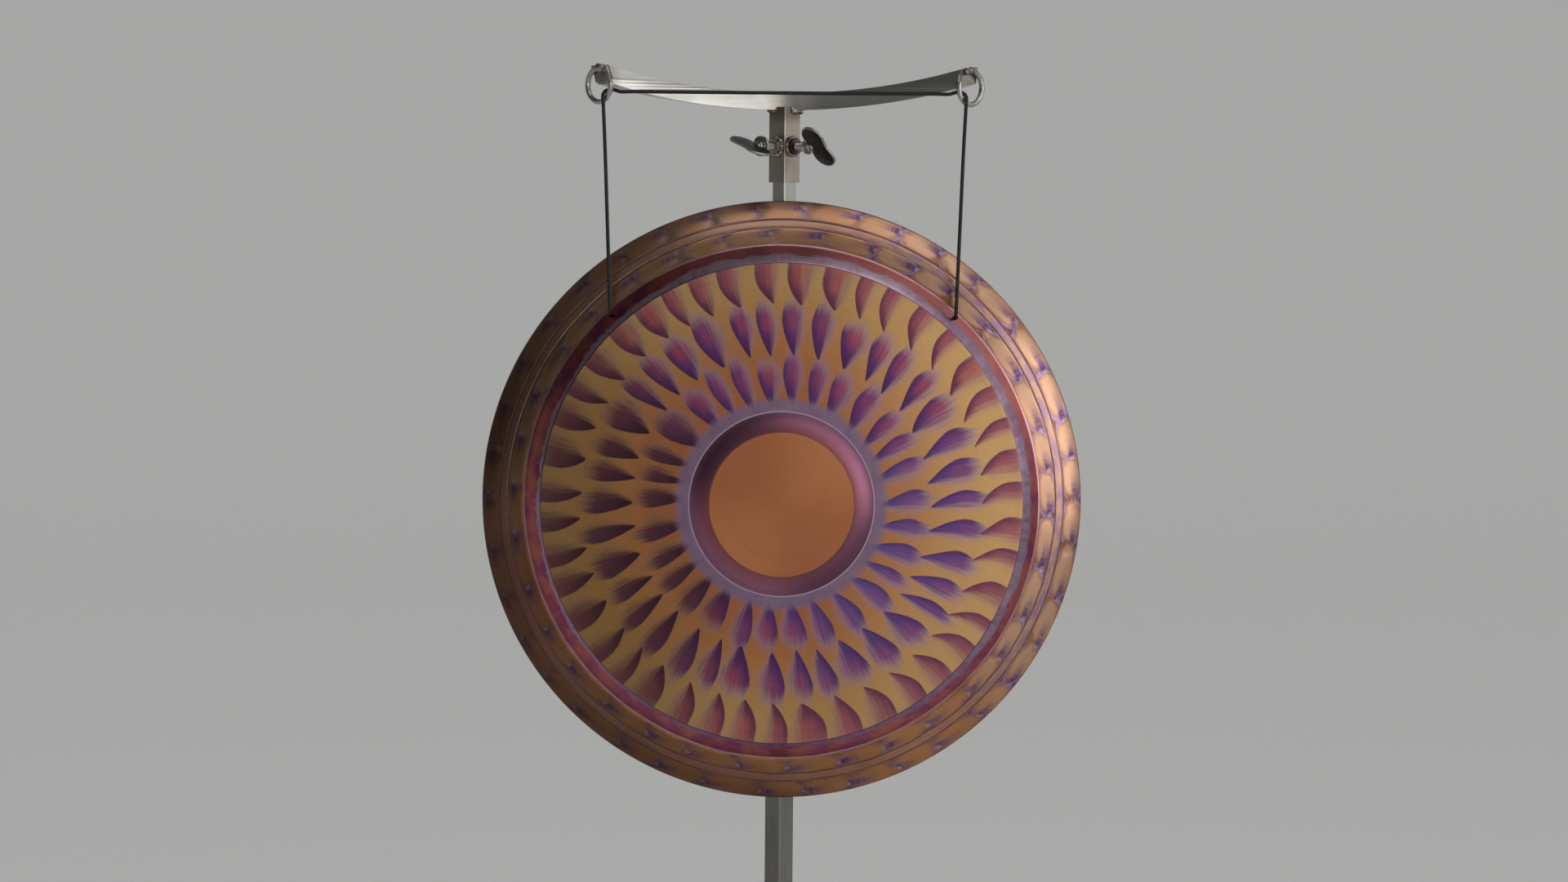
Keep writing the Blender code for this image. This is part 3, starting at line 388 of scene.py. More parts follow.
def add_crease(paint, polars, colour, leftward):
    """The turned bands outside the face: a dark line, lilac patches with painted light at the top and painted shade at
    the bottom, and red to magenta with painted light towards the upper right.
    """
    radius, turn, across, up = polars
    torch = polar_noise(paint, polars, 12.0, 60.0)
    soft = paint.around_zero(polar_noise(paint, polars, 9.0, 5.0), 0.010)
    warped = paint.add(turn, paint.mul(soft, 4.0), paint.around_zero(torch, 0.012))
    cells = paint.math("FLOOR", paint.mul(warped, 90.0))
    patch = paint.node("TexWhiteNoise", {"W": cells}, noise_dimensions="1D").outputs[0]
    streaky = paint.ease(polar_noise(paint, polars, 34.0, 50.0), 0.30, 0.70)
    patch = paint.add(paint.mul(patch, 0.40), paint.mul(streaky, 0.60))
    magenta = paint.mix(paint.ease(torch, 0.35, 0.65), (0.250, 0.050, 0.118), (0.410, 0.108, 0.092))
    outside = paint.ease(radius, FACE_RADIUS - 0.0003, FACE_RADIUS + 0.0005)
    # Painted light: the red turns lighter towards the upper right.
    magenta = paint.mix(paint.ease(paint.add(up, paint.mul(across, 0.6)), 0.5, 1.1, 0.0, 0.6), magenta, (0.620, 0.230, 0.210))
    colour = paint.mix(outside, colour, magenta)
    lilac = paint.mix(patch, (0.240, 0.150, 0.260), (0.400, 0.300, 0.380))
    lilac = paint.mix(paint.mul(leftward, 0.4), lilac, (0.380, 0.250, 0.350))
    # Painted light and shade: the lilac turns paler towards the top and upper left, and darker purple towards the
    # bottom.
    painted_light_top = paint.ease(paint.sub(up, paint.mul(across, 0.5)), 0.25, 0.95)
    lilac = paint.mix(paint.mul(painted_light_top, 0.7), lilac, (0.640, 0.460, 0.580))
    lilac = paint.mix(paint.ease(up, -0.4, -0.9, 0.0, 0.6), lilac, (0.150, 0.060, 0.160))
    border = paint.add(radius, paint.around_zero(patch, 0.0040), soft)
    outer = paint.ease(paint.add(across, paint.mul(up, 0.6)), -0.5, 0.6, FACE_RADIUS + 0.0045, 0.2895)
    in_patch = paint.sub(1.0, paint.ease(paint.sub(border, outer), -0.0014, 0.0014))
    in_patch = paint.mul(in_patch, outside, paint.ease(patch, 0.0, 0.5, 0.60, 0.95))
    colour = paint.mix(in_patch, colour, lilac)
    edge_line = paint.window(radius, FACE_RADIUS, FACE_RADIUS + 0.0010, 0.0003)
    return paint.mix(paint.mul(edge_line, 0.8), colour, (0.075, 0.035, 0.050))


def add_shoulder(paint, polars, colour, cloud, leftward):
    """The hammered shoulder: copper lobes in two rows, with lilac edges and a dark smear at each cusp, painted
    highlights and glints on the lit right side, and painted shade towards the left.
    """
    radius, turn, across, up = polars
    streaks = polar_noise(paint, polars, 16.0, 120.0, 3.0)
    # The first mask marks the lit right side for painted highlights, and the last marks the left and lower left for
    # painted shade.
    painted_light_side = paint.ease(paint.add(across, paint.mul(up, 0.30)), 0.25, 0.85)
    high = paint.math("MAXIMUM", up, 0.0)
    painted_shade_left = paint.ease(paint.add(paint.mul(across, -0.85), paint.mul(up, -0.35), paint.mul(high, -0.50)), -0.25, 0.85)
    hatch = polar_noise(paint, polars, 190.0, 24.0)
    copper = paint.mix(paint.ease(cloud, 0.3, 0.7), (0.290, 0.122, 0.058), (0.480, 0.236, 0.122))
    copper = paint.mix(paint.mul(paint.ease(hatch, 0.4, 0.75), 0.30), copper, (0.190, 0.080, 0.055))
    # Painted light: the copper turns paler towards the upper left.
    painted_light_upper_left = paint.ease(paint.sub(paint.mul(up, 0.7), paint.mul(across, 0.6)), 0.45, 0.85)
    copper = paint.mix(paint.mul(painted_light_upper_left, 0.55), copper, (0.640, 0.400, 0.270))
    colour = paint.mix(paint.ease(radius, CREASE_RADIUS + 0.0002, CREASE_RADIUS + 0.002), colour, copper)
    shift = paint.add(paint.around_zero(cloud, 0.028), paint.around_zero(streaks, 0.008))
    for count, low, high, offset, smear_at in (
        (INNER_LOBES, 0.3010, 0.3185, 0.3, 0.3125),
        (OUTER_LOBES, 0.3295, 0.3500, 0.0, 0.3425),
    ):
        lobe = paint.math("FRACT", paint.add(paint.mul(paint.add(turn, shift), count), offset))
        along = paint.math("ABSOLUTE", paint.sub(paint.mul(lobe, 2.0), 1.0))
        out = paint.math("DIVIDE", paint.sub(radius, (low + high) / 2), (high - low) / 2)
        spread = paint.add(paint.math("POWER", along, 2.6), paint.mul(paint.mul(out, out), 0.75))
        spread = paint.add(spread, paint.around_zero(streaks, 0.6))
        inside = paint.window(radius, low, high, 0.0012)
        between = paint.mul(paint.ease(spread, 0.55, 1.10), inside, paint.ease(streaks, 0.35, 0.65, 0.2, 0.7))
        colour = paint.mix(between, colour, (0.110, 0.052, 0.070))
        glowing = paint.mul(paint.ease(spread, 0.15, 0.90, 1.0, 0.0), inside, paint.ease(cloud, 0.35, 0.60, 0.25, 0.80))
        colour = paint.mix(glowing, colour, (0.480, 0.218, 0.085))
        # Painted highlight: a pale peach patch in each lobe on the lit side, and lilac edges that also show most there.
        peach_highlight = paint.mul(paint.ease(spread, 0.30, 0.95, 1.0, 0.0), inside, paint.ease(painted_light_side, 0.0, 1.0, 0.0, 0.95))
        colour = paint.mix(peach_highlight, colour, (0.560, 0.330, 0.215))
        lilac = paint.mul(paint.window(spread, 0.86, 1.25, 0.16), inside, paint.ease(streaks, 0.35, 0.6))
        lilac = paint.mul(lilac, paint.ease(painted_light_side, 0.0, 1.0, 0.30, 0.95))
        colour = paint.mix(lilac, colour, (0.360, 0.240, 0.400))
        behind = paint.ease(lobe, 0.05, 0.62, 1.0, 0.0)
        wavy = paint.add(radius, paint.around_zero(streaks, 0.007))
        smear = paint.mul(paint.window(wavy, smear_at - 0.0036, smear_at + 0.0036, 0.0024), behind)
        tint = paint.mix(paint.ease(hatch, 0.3, 0.7), (0.060, 0.028, 0.090), (0.210, 0.110, 0.280))
        colour = paint.mix(paint.mul(smear, paint.ease(streaks, 0.3, 0.55, 0.45, 1.0)), colour, tint)
        # Painted glint: a small bright mark at each cusp.
        cusp_glint = paint.mul(paint.ease(along, 0.86, 0.99), paint.window(wavy, smear_at - 0.0015, smear_at + 0.0028, 0.0010))
        colour = paint.mix(paint.mul(cusp_glint, 0.45), colour, (0.560, 0.450, 0.520))
    # A mottled tint between the grooves, stronger on the lit right side, where it is partly painted light.
    between = paint.mul(paint.window(radius, GROOVES[0], GROOVES[1], 0.0008), paint.ease(painted_light_side, 0.0, 1.0, 0.20, 0.80))
    mottled = paint.mix(paint.ease(streaks, 0.38, 0.62), (0.330, 0.205, 0.310), (0.520, 0.315, 0.235))
    colour = paint.mix(between, colour, mottled)
    outside = paint.ease(radius, CREASE_RADIUS + 0.001, CREASE_RADIUS + 0.006)
    # Painted light: more pale copper at the upper left, outside the crease.
    colour = paint.mix(paint.mul(painted_light_upper_left, outside, 0.20), colour, (0.640, 0.400, 0.300))
    # Painted shade: the shoulder darkens towards the left, more in the outer row.
    depth = paint.ease(radius, 0.318, 0.342, 0.62, 0.82)
    colour = paint.mix(paint.mul(painted_shade_left, outside, depth), colour, (0.048, 0.023, 0.021))
    for groove in GROOVES:
        wavy = paint.add(radius, paint.around_zero(streaks, 0.0016))
        line = paint.window(wavy, groove - 0.0006, groove + 0.0006, 0.0004)
        line = paint.mul(line, paint.ease(polar_noise(paint, polars, 3.0, 40.0), 0.30, 0.60, 0.25, 0.9))
        colour = paint.mix(line, colour, (0.070, 0.035, 0.045))
    # Painted highlight: a thin bright line along the crease.
    crease_highlight = paint.window(radius, CREASE_RADIUS - 0.0002, CREASE_RADIUS + 0.0012, 0.0005)
    crease_highlight = paint.mul(crease_highlight, paint.ease(streaks, 0.35, 0.6, 0.35, 0.8))
    return paint.mix(crease_highlight, colour, (0.480, 0.350, 0.390))


def gong_front():
    """Turned and heat-tinted sheet metal: a copper boss, a gold face with three rings of petals, and a rim."""
    paint = Paint("gong_front", Metallic=1.0)
    polars = polar(paint)
    radius, _, across, up = polars
    cloud = paint.noise(paint.place(), 7.0, 3.0)
    turned = polar_noise(paint, polars, 0.35, 520.0)
    uneven = paint.add(paint.mul(radius, 1.0 / RADIUS), paint.around_zero(cloud, 0.16))
    colour = paint.ramp(
        uneven,
        (
            (0.33, (0.420, 0.145, 0.062)),
            (0.46, (0.440, 0.170, 0.070)),
            (0.57, (0.480, 0.222, 0.083)),
            (0.66, (0.505, 0.270, 0.098)),
            (0.74, (0.530, 0.318, 0.124)),
        ),
    )
    colour = paint.mix(paint.mul(paint.ease(turned, 0.35, 0.75), 0.12), colour, (0.300, 0.150, 0.060))
    # Painted shade: the first mask marks the left of the gong, where face and petals are painted darker, and the outer
    # face darkens most there.
    leftward = paint.ease(paint.add(across, paint.mul(up, 0.18)), -0.90, -0.35, 1.0, 0.0)
    bluish = paint.ease(paint.sub(paint.mul(across, 0.85), paint.mul(up, 0.50)), 0.30, 0.95)
    painted_shade_far_left = paint.mul(leftward, paint.ease(radius, 0.15, 0.262, 0.15, 0.55))
    colour = paint.mix(painted_shade_far_left, colour, (0.180, 0.085, 0.035))
    # Painted light: the face turns a lighter gold towards the right.
    painted_light_right = paint.mul(paint.ease(across, 0.10, 0.95, 0.0, 0.55), paint.ease(radius, 0.120, 0.225, 0.35, 1.0))
    colour = paint.mix(painted_light_right, colour, (0.680, 0.400, 0.175))
    colour = add_petals(paint, polars, colour, leftward, bluish)
    # Painted reflection: a bow-tie sheen, 1 towards upper right and lower left and -1 between, like the highlight of
    # circular turning.
    bowtie_sheen = paint.mul(across, up, 2.0)
    colour = add_boss(paint, polars, colour, bowtie_sheen)
    colour = add_crease(paint, polars, colour, leftward)
    colour = add_shoulder(paint, polars, colour, cloud, leftward)
    rough = paint.ease(turned, 0.3, 0.7, 0.27, 0.34)
    rough = paint.add(rough, paint.mul(paint.window(radius, BOSS_TOP, BOSS_FOOT, 0.002), 0.22))
    paint.set(Base_Color=colour, Roughness=rough)
    paint.bump(paint.add(paint.mul(turned, 0.000006), paint.mul(cloud, 0.0004)))
    return paint.material


def gong_back():
    """The untreated inside of the bowl: dark turned metal with scale."""
    paint = Paint("gong_back", Metallic=1.0)
    polars = polar(paint)
    cloud = paint.noise(paint.place(), 12.0, 5.0, 0.65)
    mixed = paint.add(paint.mul(cloud, 0.6), paint.mul(polar_noise(paint, polars, 1.0, 500.0), 0.4))
    colour = paint.ramp(mixed, ((0.3, (0.12, 0.060, 0.032)), (0.5, (0.27, 0.140, 0.062)), (0.7, (0.44, 0.260, 0.110))))
    paint.set(Base_Color=colour, Roughness=paint.ease(mixed, 0.3, 0.7, 0.55, 0.34))
    paint.bump(paint.mul(mixed, 0.00015))
    return paint.material


def steel(name, grain, turn=(0, 0, 0), light=(0.660, 0.645, 0.610), dark=(0.540, 0.525, 0.490), tinted=None, bent=0.0):
    """Satin bare steel. grain is the scale of its scratches along each axis.

    bent is the slope by which the surface leans towards its middle from both ends along X."""
    paint = Paint(name, Metallic=1.0)
    here = paint.place()
    scratches = paint.noise(paint.scaled(here, grain, turn), 1.0, 4.0, 0.6)
    cloud = paint.noise(here, 16.0, 4.0, 0.6)
    mixed = paint.add(paint.mul(scratches, 0.5), paint.mul(cloud, 0.5))
    colour = paint.mix(paint.ease(mixed, 0.34, 0.64), dark, light)
    if tinted:
        colour = tinted(paint, colour, cloud)
    paint.set(Base_Color=colour, Roughness=paint.ease(mixed, 0.3, 0.7, 0.36, 0.27))
    height = paint.mul(scratches, 0.00002)
    if bent:
        x, _, _ = paint.axes(here)
        height = paint.add(height, paint.mul(paint.math("SQRT", paint.add(paint.mul(x, x), 0.0004)), bent))
    paint.bump(height)
    return paint.material


def crossbar_shade_and_tint(paint, colour, cloud):
    """Painted shade that darkens the right half, and straw and grey heat colours at the welded ends and over the
    sleeve.
    """
    x, _, _ = paint.axes(paint.place())
    # Painted shade: the right half turns a darker grey.
    colour = paint.mix(paint.ease(x, 0.0, 0.05, 0.0, 0.72), colour, (0.215, 0.207, 0.188))
    away = paint.add(paint.math("ABSOLUTE", x), paint.around_zero(cloud, 0.016))
    colour = paint.mix(paint.mul(paint.ease(away, 0.188, 0.206), 0.55), colour, (0.240, 0.205, 0.165))
    return paint.mix(paint.mul(paint.ease(away, 0.012, 0.026, 1.0, 0.0), 0.35), colour, (0.280, 0.230, 0.170))


def sleeve_tint(paint, colour, cloud):
    """Brown and straw heat colours down from the crossbar's weld and round the nuts."""
    _, _, z = paint.axes(paint.place())
    z = paint.add(z, paint.around_zero(cloud, 0.012))
    near_bar = paint.ease(z, 1.478, 1.494)
    near_nut = paint.window(z, 1.4450, 1.4640, 0.006)
    colour = paint.mix(paint.mul(near_bar, 0.80), colour, (0.170, 0.125, 0.095))
    return paint.mix(paint.mul(near_nut, 0.60), colour, (0.300, 0.190, 0.110))


def plain(name, dark, light, scale, metallic, rough, relief):
    """A mottled surface with fine relief: rubber, plastic, cord or cast metal."""
    paint = Paint(name, Metallic=metallic)
    here = paint.place()
    grain = paint.noise(here, scale, 4.0, 0.6)
    cloud = paint.noise(here, scale * 0.12, 3.0)
    mixed = paint.add(paint.mul(grain, 0.5), paint.mul(cloud, 0.5))
    paint.set(Base_Color=paint.mix(paint.ease(mixed, 0.35, 0.65), dark, light))
    paint.set(Roughness=paint.ease(mixed, 0.3, 0.7, rough + 0.08, rough - 0.08))
    paint.bump(paint.mul(grain, relief))
    return paint.material


def shoulder_depth(radius):
    share = (radius - CREASE_RADIUS) / (RADIUS - CREASE_RADIUS)
    return CREASE_DEPTH + (EDGE_DEPTH - CREASE_DEPTH) * (0.55 * share + 0.45 * share**3)


def front_depth(radius):
    """Depth of the gong's front surface behind its flat face."""
    if radius <= BOSS_TOP:
        return -BOSS_HEIGHT
    if radius < BOSS_FOOT:
        share = (radius - BOSS_TOP) / (BOSS_FOOT - BOSS_TOP)
        return -BOSS_HEIGHT * (0.5 + 0.5 * math.cos(math.pi * share))
    if radius <= FACE_RADIUS:
        return 0.0
    if radius < CREASE_RADIUS:
        share = (radius - FACE_RADIUS) / (CREASE_RADIUS - FACE_RADIUS)
        return CREASE_DEPTH * share**1.15
    depth = shoulder_depth(radius)
    for groove in GROOVES:
        off = abs(radius - groove) / (GROOVE_WIDTH / 2)
        if off < 1:
            depth += GROOVE_DEPTH * (0.5 + 0.5 * math.cos(math.pi * off))
    return depth


def lobe_relief(radius, angle):
    """How far the hammered lobes stand in from the smooth shoulder, which they nowhere stand out of."""
    relief = 0.0
    rows = ((INNER_LOBES, 0.3005, 0.3180, 0.3, 0.0006), (OUTER_LOBES, 0.3297, 0.3498, 0.0, 0.0011))
    for count, low, high, offset, depth in rows:
        if low < radius < high:
            lobe = (angle / (2 * math.pi) * count + offset) % 1.0
            across = abs(2 * lobe - 1) ** 4
            along = math.sin(math.pi * (radius - low) / (high - low)) ** 0.6
            relief += depth * across * along
    return relief


def span(start, end, step):
    """Values from start up to end, at about the given step, without the end."""
    count = max(1, round((end - start) / step))
    return [start + (end - start) * index / count for index in range(count)]


def make_gong(front, back):
    radii = [0.012, 0.040, 0.068, BOSS_TOP - EDGE_ROW]
    radii += span(BOSS_TOP, BOSS_FOOT, 0.0015)
    radii += [BOSS_FOOT, BOSS_FOOT + EDGE_ROW]
    radii += span(BOSS_FOOT + 0.01, FACE_RADIUS - EDGE_ROW, 0.0115)
    radii += [FACE_RADIUS - EDGE_ROW, FACE_RADIUS, FACE_RADIUS + EDGE_ROW]
    radii += span(FACE_RADIUS + 0.002, CREASE_RADIUS, 0.0018)
    start = CREASE_RADIUS
    for groove in GROOVES:
        radii += span(start, groove - GROOVE_WIDTH / 2, 0.0015)
        radii += span(groove - GROOVE_WIDTH / 2, groove + GROOVE_WIDTH / 2, 0.00055)
        start = groove + GROOVE_WIDTH / 2
    radii += span(start, RADIUS, 0.0013)
    front_rows = [(radius, front_depth(radius)) for radius in radii]
    lip = []
    for step in range(7):
        share = step / 6
        depth = EDGE_DEPTH + (LIP_DEPTH - EDGE_DEPTH) * share
        lip.append((RADIUS - LIP_INSET * share**2, depth))
    inner = [(RADIUS - LIP_INSET - WALL, LIP_DEPTH)]
    for radius in (0.3455, 0.340, 0.332, 0.322, 0.312, 0.301):
        inner.append((radius - 0.0008, shoulder_depth(radius) + WALL))
    inner += [(0.2955, CREASE_DEPTH + 0.0012), (0.290, 0.0155), (0.284, 0.0085), (0.2775, 0.0022)]
    inner += [(0.250, WALL), (0.200, WALL), (0.150, WALL), (BOSS_FOOT + 0.001, WALL)]
    for radius in (0.101, 0.095, 0.089):
        inner.append((radius, front_depth(radius) + WALL))
    inner += [(BOSS_TOP - 0.001, WALL - BOSS_HEIGHT), (0.040, WALL - BOSS_HEIGHT), (0.012, WALL - BOSS_HEIGHT)]
    rows = front_rows + lip + inner
    around = OUTER_LOBES * STEPS_PER_LOBE
    mesh = bpy.data.meshes.new("hammered_gong")
    shape = bmesh.new()
    rings = []
    for number, (radius, depth) in enumerate(rows):
        ring = []
        for step in range(around):
            angle = 2 * math.pi * step / around
            extra = lobe_relief(radius, angle) if number < len(front_rows) else 0.0
            ring.append(shape.verts.new((radius * math.cos(angle), depth + extra, radius * math.sin(angle))))
        rings.append(ring)
    for number, (first, second) in enumerate(zip(rings, rings[1:])):
        for step in range(around):
            after = (step + 1) % around
            face = shape.faces.new((first[step], second[step], second[after], first[after]))
            face.material_index = 0 if number < len(front_rows) + len(lip) - 1 else 1
            face.smooth = True
    for ring, depth, slot_number in ((rings[0], rows[0][1], 0), (rings[-1], rows[-1][1], 1)):
        middle = shape.verts.new((0, depth, 0))
        for step in range(around):
            face = shape.faces.new((middle, ring[step], ring[(step + 1) % around]))
            face.material_index = slot_number
            face.smooth = True
    bmesh.ops.recalc_face_normals(shape, faces=shape.faces)
    shape.to_mesh(mesh)
    shape.free()
    gong = bpy.data.objects.new("hammered_gong", mesh)
    bpy.context.scene.collection.objects.link(gong)
    mesh.materials.append(front)
    mesh.materials.append(back)
    gong.location = GONG_CENTRE
    for _, side in SIDES:
        drill(gong, (side * CORD_HOLE[0], 0.0, CORD_HOLE[1]))
    return gong


def drill(obj, place):
    """Cuts one cord hole through the gong, in the gong's own frame."""
    mesh = bpy.data.meshes.new("drill")
    shape = bmesh.new()
    facing = Matrix.Translation(place) @ Matrix.Rotation(math.radians(90), 4, "X")
    bmesh.ops.create_cone(
        shape, cap_ends=True, segments=24, radius1=CORD_HOLE_RADIUS, radius2=CORD_HOLE_RADIUS, depth=0.12, matrix=facing
    )
    shape.to_mesh(mesh)
    shape.free()
    cutter = bpy.data.objects.new("drill", mesh)
    bpy.context.scene.collection.objects.link(cutter)
    cutter.location = obj.location
    modifier = obj.modifiers.new("hole", "BOOLEAN")
    modifier.operation = "DIFFERENCE"
    modifier.object = cutter
    modifier.solver = "EXACT"
    bpy.context.view_layer.update()
    graph = bpy.context.evaluated_depsgraph_get()
    cut = bpy.data.meshes.new_from_object(obj.evaluated_get(graph))
    obj.modifiers.clear()
    obj.data = cut
    bpy.data.objects.remove(cutter, do_unlink=True)


def smooth_route(route, per_span=8):
    """Points on a smooth curve (Catmull-Rom) through a route's points."""
    knots = [Vector(point) for point in route]
    knots = [2 * knots[0] - knots[1], *knots, 2 * knots[-1] - knots[-2]]
    points = []
    for a, b, c, d in zip(knots, knots[1:], knots[2:], knots[3:]):
        for step in range(per_span):
            t = step / per_span
            bend = (2 * a - 5 * b + 4 * c - d) * t * t + (3 * b - a - 3 * c + d) * t**3
            points.append(0.5 * (2 * b + (c - a) * t + bend))
    points.append(knots[-2])
    return points


def length_of(points):
    return sum((b - a).length for a, b in zip(points, points[1:]))


def make_cord(name, route, material):
    """One round cord along a route, and its length."""
    points = smooth_route(route)
    return cord_piece(name, points, material), length_of(points)


def make_knot(name, centre, material):
    """An overhand stopper knot, flat against the back of the gong, with its short tail."""
    points = []
    for step in range(KNOT_STEPS + 1):
        angle = 0.5 + 2 * math.pi * 0.96 * step / KNOT_STEPS
        x = math.sin(angle) + 2 * math.sin(2 * angle)
        z = math.cos(angle) - 2 * math.cos(2 * angle)
        points.append(Vector((x, math.sin(3 * angle), z)) * KNOT_SCALE + Vector(centre))
    onward = (points[-1] - points[-2]).normalized()
    for step in range(1, 7):
        points.append(points[-1] + (onward + Vector((0, 0.15, -0.12 * step))).normalized() * 0.0016)
    return cord_piece(name, points, material)


def cord_piece(name, points, material):
    """A round cord through the given points, as a curve object."""
    curve = bpy.data.curves.new(name, "CURVE")
    curve.dimensions = "3D"
    curve.bevel_depth = CORD_DIAMETER / 2
    curve.bevel_resolution = 5
    curve.use_fill_caps = True
    spline = curve.splines.new("POLY")
    spline.points.add(len(points) - 1)
    for point, place in zip(spline.points, points):
        point.co = (*place, 1)
    curve.materials.append(material)
    piece = bpy.data.objects.new(name, curve)
    bpy.context.scene.collection.objects.link(piece)
    return piece


def add_skin(shape, rings, looped=False, slot_number=0):
    """Adds a closed skin through rings of points, capped at its ends, or joined up if looped."""
    loops = [[shape.verts.new(point) for point in ring] for ring in rings]
    pairs = list(zip(loops, loops[1:]))
    if looped:
        pairs.append((loops[-1], loops[0]))
    faces = []
    for first, second in pairs:
        count = len(first)
        for step in range(count):
            after = (step + 1) % count
            faces.append(shape.faces.new((first[step], first[after], second[after], second[step])))
    if not looped:
        faces.append(shape.faces.new(list(reversed(loops[0]))))
        faces.append(shape.faces.new(loops[-1]))
    for face in faces:
        face.material_index = slot_number
    bmesh.ops.recalc_face_normals(shape, faces=faces)


def put(name, shape, materials, body, stands_for=None):
    """Turns a built shape into a piece that rides on a body."""
    mesh = bpy.data.meshes.new(name)
    shape.to_mesh(mesh)
    shape.free()
    mesh.shade_smooth()
    mesh.set_sharp_from_angle(angle=math.radians(38))
    for material in materials:
        mesh.materials.append(material)
    piece = bpy.data.objects.new(name, mesh)
    bpy.context.scene.collection.objects.link(piece)
    if stands_for:
        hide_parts(stands_for)
    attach(piece, body)
    return piece


def basis(forward):
    """A rotation whose Z axis lies along a level direction, with its Y axis upright."""
    z_axis = Vector(forward).normalized()
    x_axis = Vector((0, 0, 1)).cross(z_axis).normalized()
    return Matrix((x_axis, z_axis.cross(x_axis), z_axis)).transposed().to_4x4()


def ring_at(place, radius, height, count=28):
    """A circle of points about a frame's Z axis."""
    angles = [2 * math.pi * step / count for step in range(count)]
    return [place @ Vector((radius * math.cos(a), radius * math.sin(a), height)) for a in angles]


def wing_half(x, lobe, waist, reach):
    """Half the wing's width at a place along it."""
    if abs(x) > reach:
        return math.sqrt(max(lobe**2 - (abs(x) - reach) ** 2, 0.0))
    return waist + (lobe - waist) * (0.5 - 0.5 * math.cos(math.pi * x / reach))


def wing_outline(inset):
    """The wing's rounded peanut outline, drawn in by inset."""
    lobe = WING_WIDTH / 2 - inset
    reach = (WING_LENGTH - WING_WIDTH) / 2
    waist = WING_WAIST / 2 - inset
    along = [reach + lobe * math.cos(math.pi / 2 * step / 10) for step in range(10)]
    along += [reach - 2 * reach * step / 20 for step in range(21)]
    along += [-reach - lobe * math.sin(math.pi / 2 * step / 10) for step in range(1, 11)]
    painted_light_top = [(x, wing_half(x, lobe, waist, reach)) for x in along]
    lower = [(x, -half) for x, half in reversed(painted_light_top[1:-1])]
    return painted_light_top + lower


def make_wing_screw(label, direction, height, turn, tip, body, materials):
    """A threaded shank with a collar and a weld, and a flat wing with worn, rounded edges."""
    turned = Matrix.Rotation(math.radians(turn), 4, "Z")
    place = Matrix.Translation((0, 0, height)) @ basis(direction) @ turned
    shape = bmesh.new()
    profile = [(SCREW_RADIUS - 0.0008, tip), (SCREW_RADIUS - 0.0002, tip + 0.0008)]
    threads = int((WASHER_FROM_AXIS - tip - 0.002) / THREAD_PITCH)
    for number in range(threads):
        start = tip + 0.001 + number * THREAD_PITCH
        profile += [(SCREW_RADIUS, start), (SCREW_RADIUS, start + 0.0003), (SCREW_RADIUS - 0.0006, start + 0.0009)]
    collar = WASHER_FROM_AXIS + WASHER_THICKNESS + 0.0003
    profile += [(SCREW_RADIUS, WASHER_FROM_AXIS), (SCREW_RADIUS, collar)]
    bead = COLLAR_RADIUS - SCREW_RADIUS
    for step in range(9):
        angle = math.pi * step / 8
        profile.append((SCREW_RADIUS + bead * math.sin(angle) ** 0.6, collar + 0.002 - 0.002 * math.cos(angle)))
    end = WING_FROM_AXIS - WING_WAIST / 2 + 0.002
    profile += [(SCREW_RADIUS, collar + 0.0045), (SCREW_RADIUS, end - 0.003), (SCREW_RADIUS - 0.001, end)]
    add_skin(shape, [ring_at(place, radius, level) for radius, level in profile], slot_number=1)
    half = WING_THICKNESS / 2
    layers = ((0.0014, -half), (0.0005, -0.86 * half), (0.0, -0.5 * half))
    layers += tuple((inset, -level) for inset, level in reversed(layers))
    rings = []
    for inset, level in layers:
        rings.append([place @ Vector((x, level, WING_FROM_AXIS + z)) for x, z in wing_outline(inset)])
    add_skin(shape, rings, slot_number=1)
    for face in shape.faces:
        if len(face.verts) > 40:
            face.material_index = 0
    for side in (-1, 1):
        blob = []
        for step in range(7):
            share = step / 6
            middle = Vector((0, side * half * 0.9, end - 0.004 + 0.0075 * share))
            size = 0.0006 + 0.0034 * math.sin(math.pi * share) ** 0.5 * (1 + 0.15 * math.sin(9 * share))
            blob.append([place @ (middle + Vector((1.3 * size * math.cos(a), 0.8 * size * math.sin(a), 0)))
                         for a in (2 * math.pi * k / 12 for k in range(12))])
        add_skin(shape, blob, slot_number=1)
    put("clamp_wing_" + label, shape, materials, body, "wing_screw_" + label)


def make_weld(name, path, size, looped, body, material, seed):
    """A lumpy weld bead along a path of points."""
    points = [Vector(point) for point in path]
    if looped:
        points.append(points[0])
    dense = []
    for first, second in zip(points, points[1:]):
        count = max(2, round((second - first).length / (size * 0.35)))
        dense += [first.lerp(second, step / count) for step in range(count)]
    if not looped:
        dense.append(points[-1])
    rings = []
    for number, point in enumerate(dense):
        before = dense[number - 1] if looped or number else point
        after = dense[(number + 1) % len(dense)] if looped or number < len(dense) - 1 else point
        forward = (after - before).normalized()
        aside = forward.orthogonal().normalized()
        if abs(forward.z) < 0.9:
            aside = forward.cross(Vector((0, 0, 1))).normalized()
        other = forward.cross(aside)
        lump = 1 + 0.20 * math.sin(number * 1.7 + seed) + 0.18 * math.sin(number * 0.61 + 2 * seed)
        if not looped:
            lump *= 0.35 + 0.65 * math.sin(math.pi * (number + 0.6) / (len(dense) + 0.2)) ** 0.5
        angles = [2 * math.pi * step / 10 for step in range(10)]
        rings.append([point + (aside * math.cos(a) + other * math.sin(a)) * size * lump for a in angles])
    shape = bmesh.new()
    add_skin(shape, rings, looped)
    put(name, shape, [material], body)


def turned_square(side, z, count=6):
    """Points round a square that is turned 45 degrees, about the post's middle line."""
    corners = [(0, -side * DIAGONAL), (side * DIAGONAL, 0), (0, side * DIAGONAL), (-side * DIAGONAL, 0)]
    points = []
    for first, second in zip(corners, corners[1:] + corners[:1]):
        for step in range(count):
            share = step / count
            points.append((first[0] + (second[0] - first[0]) * share, first[1] + (second[1] - first[1]) * share, z))
    return points


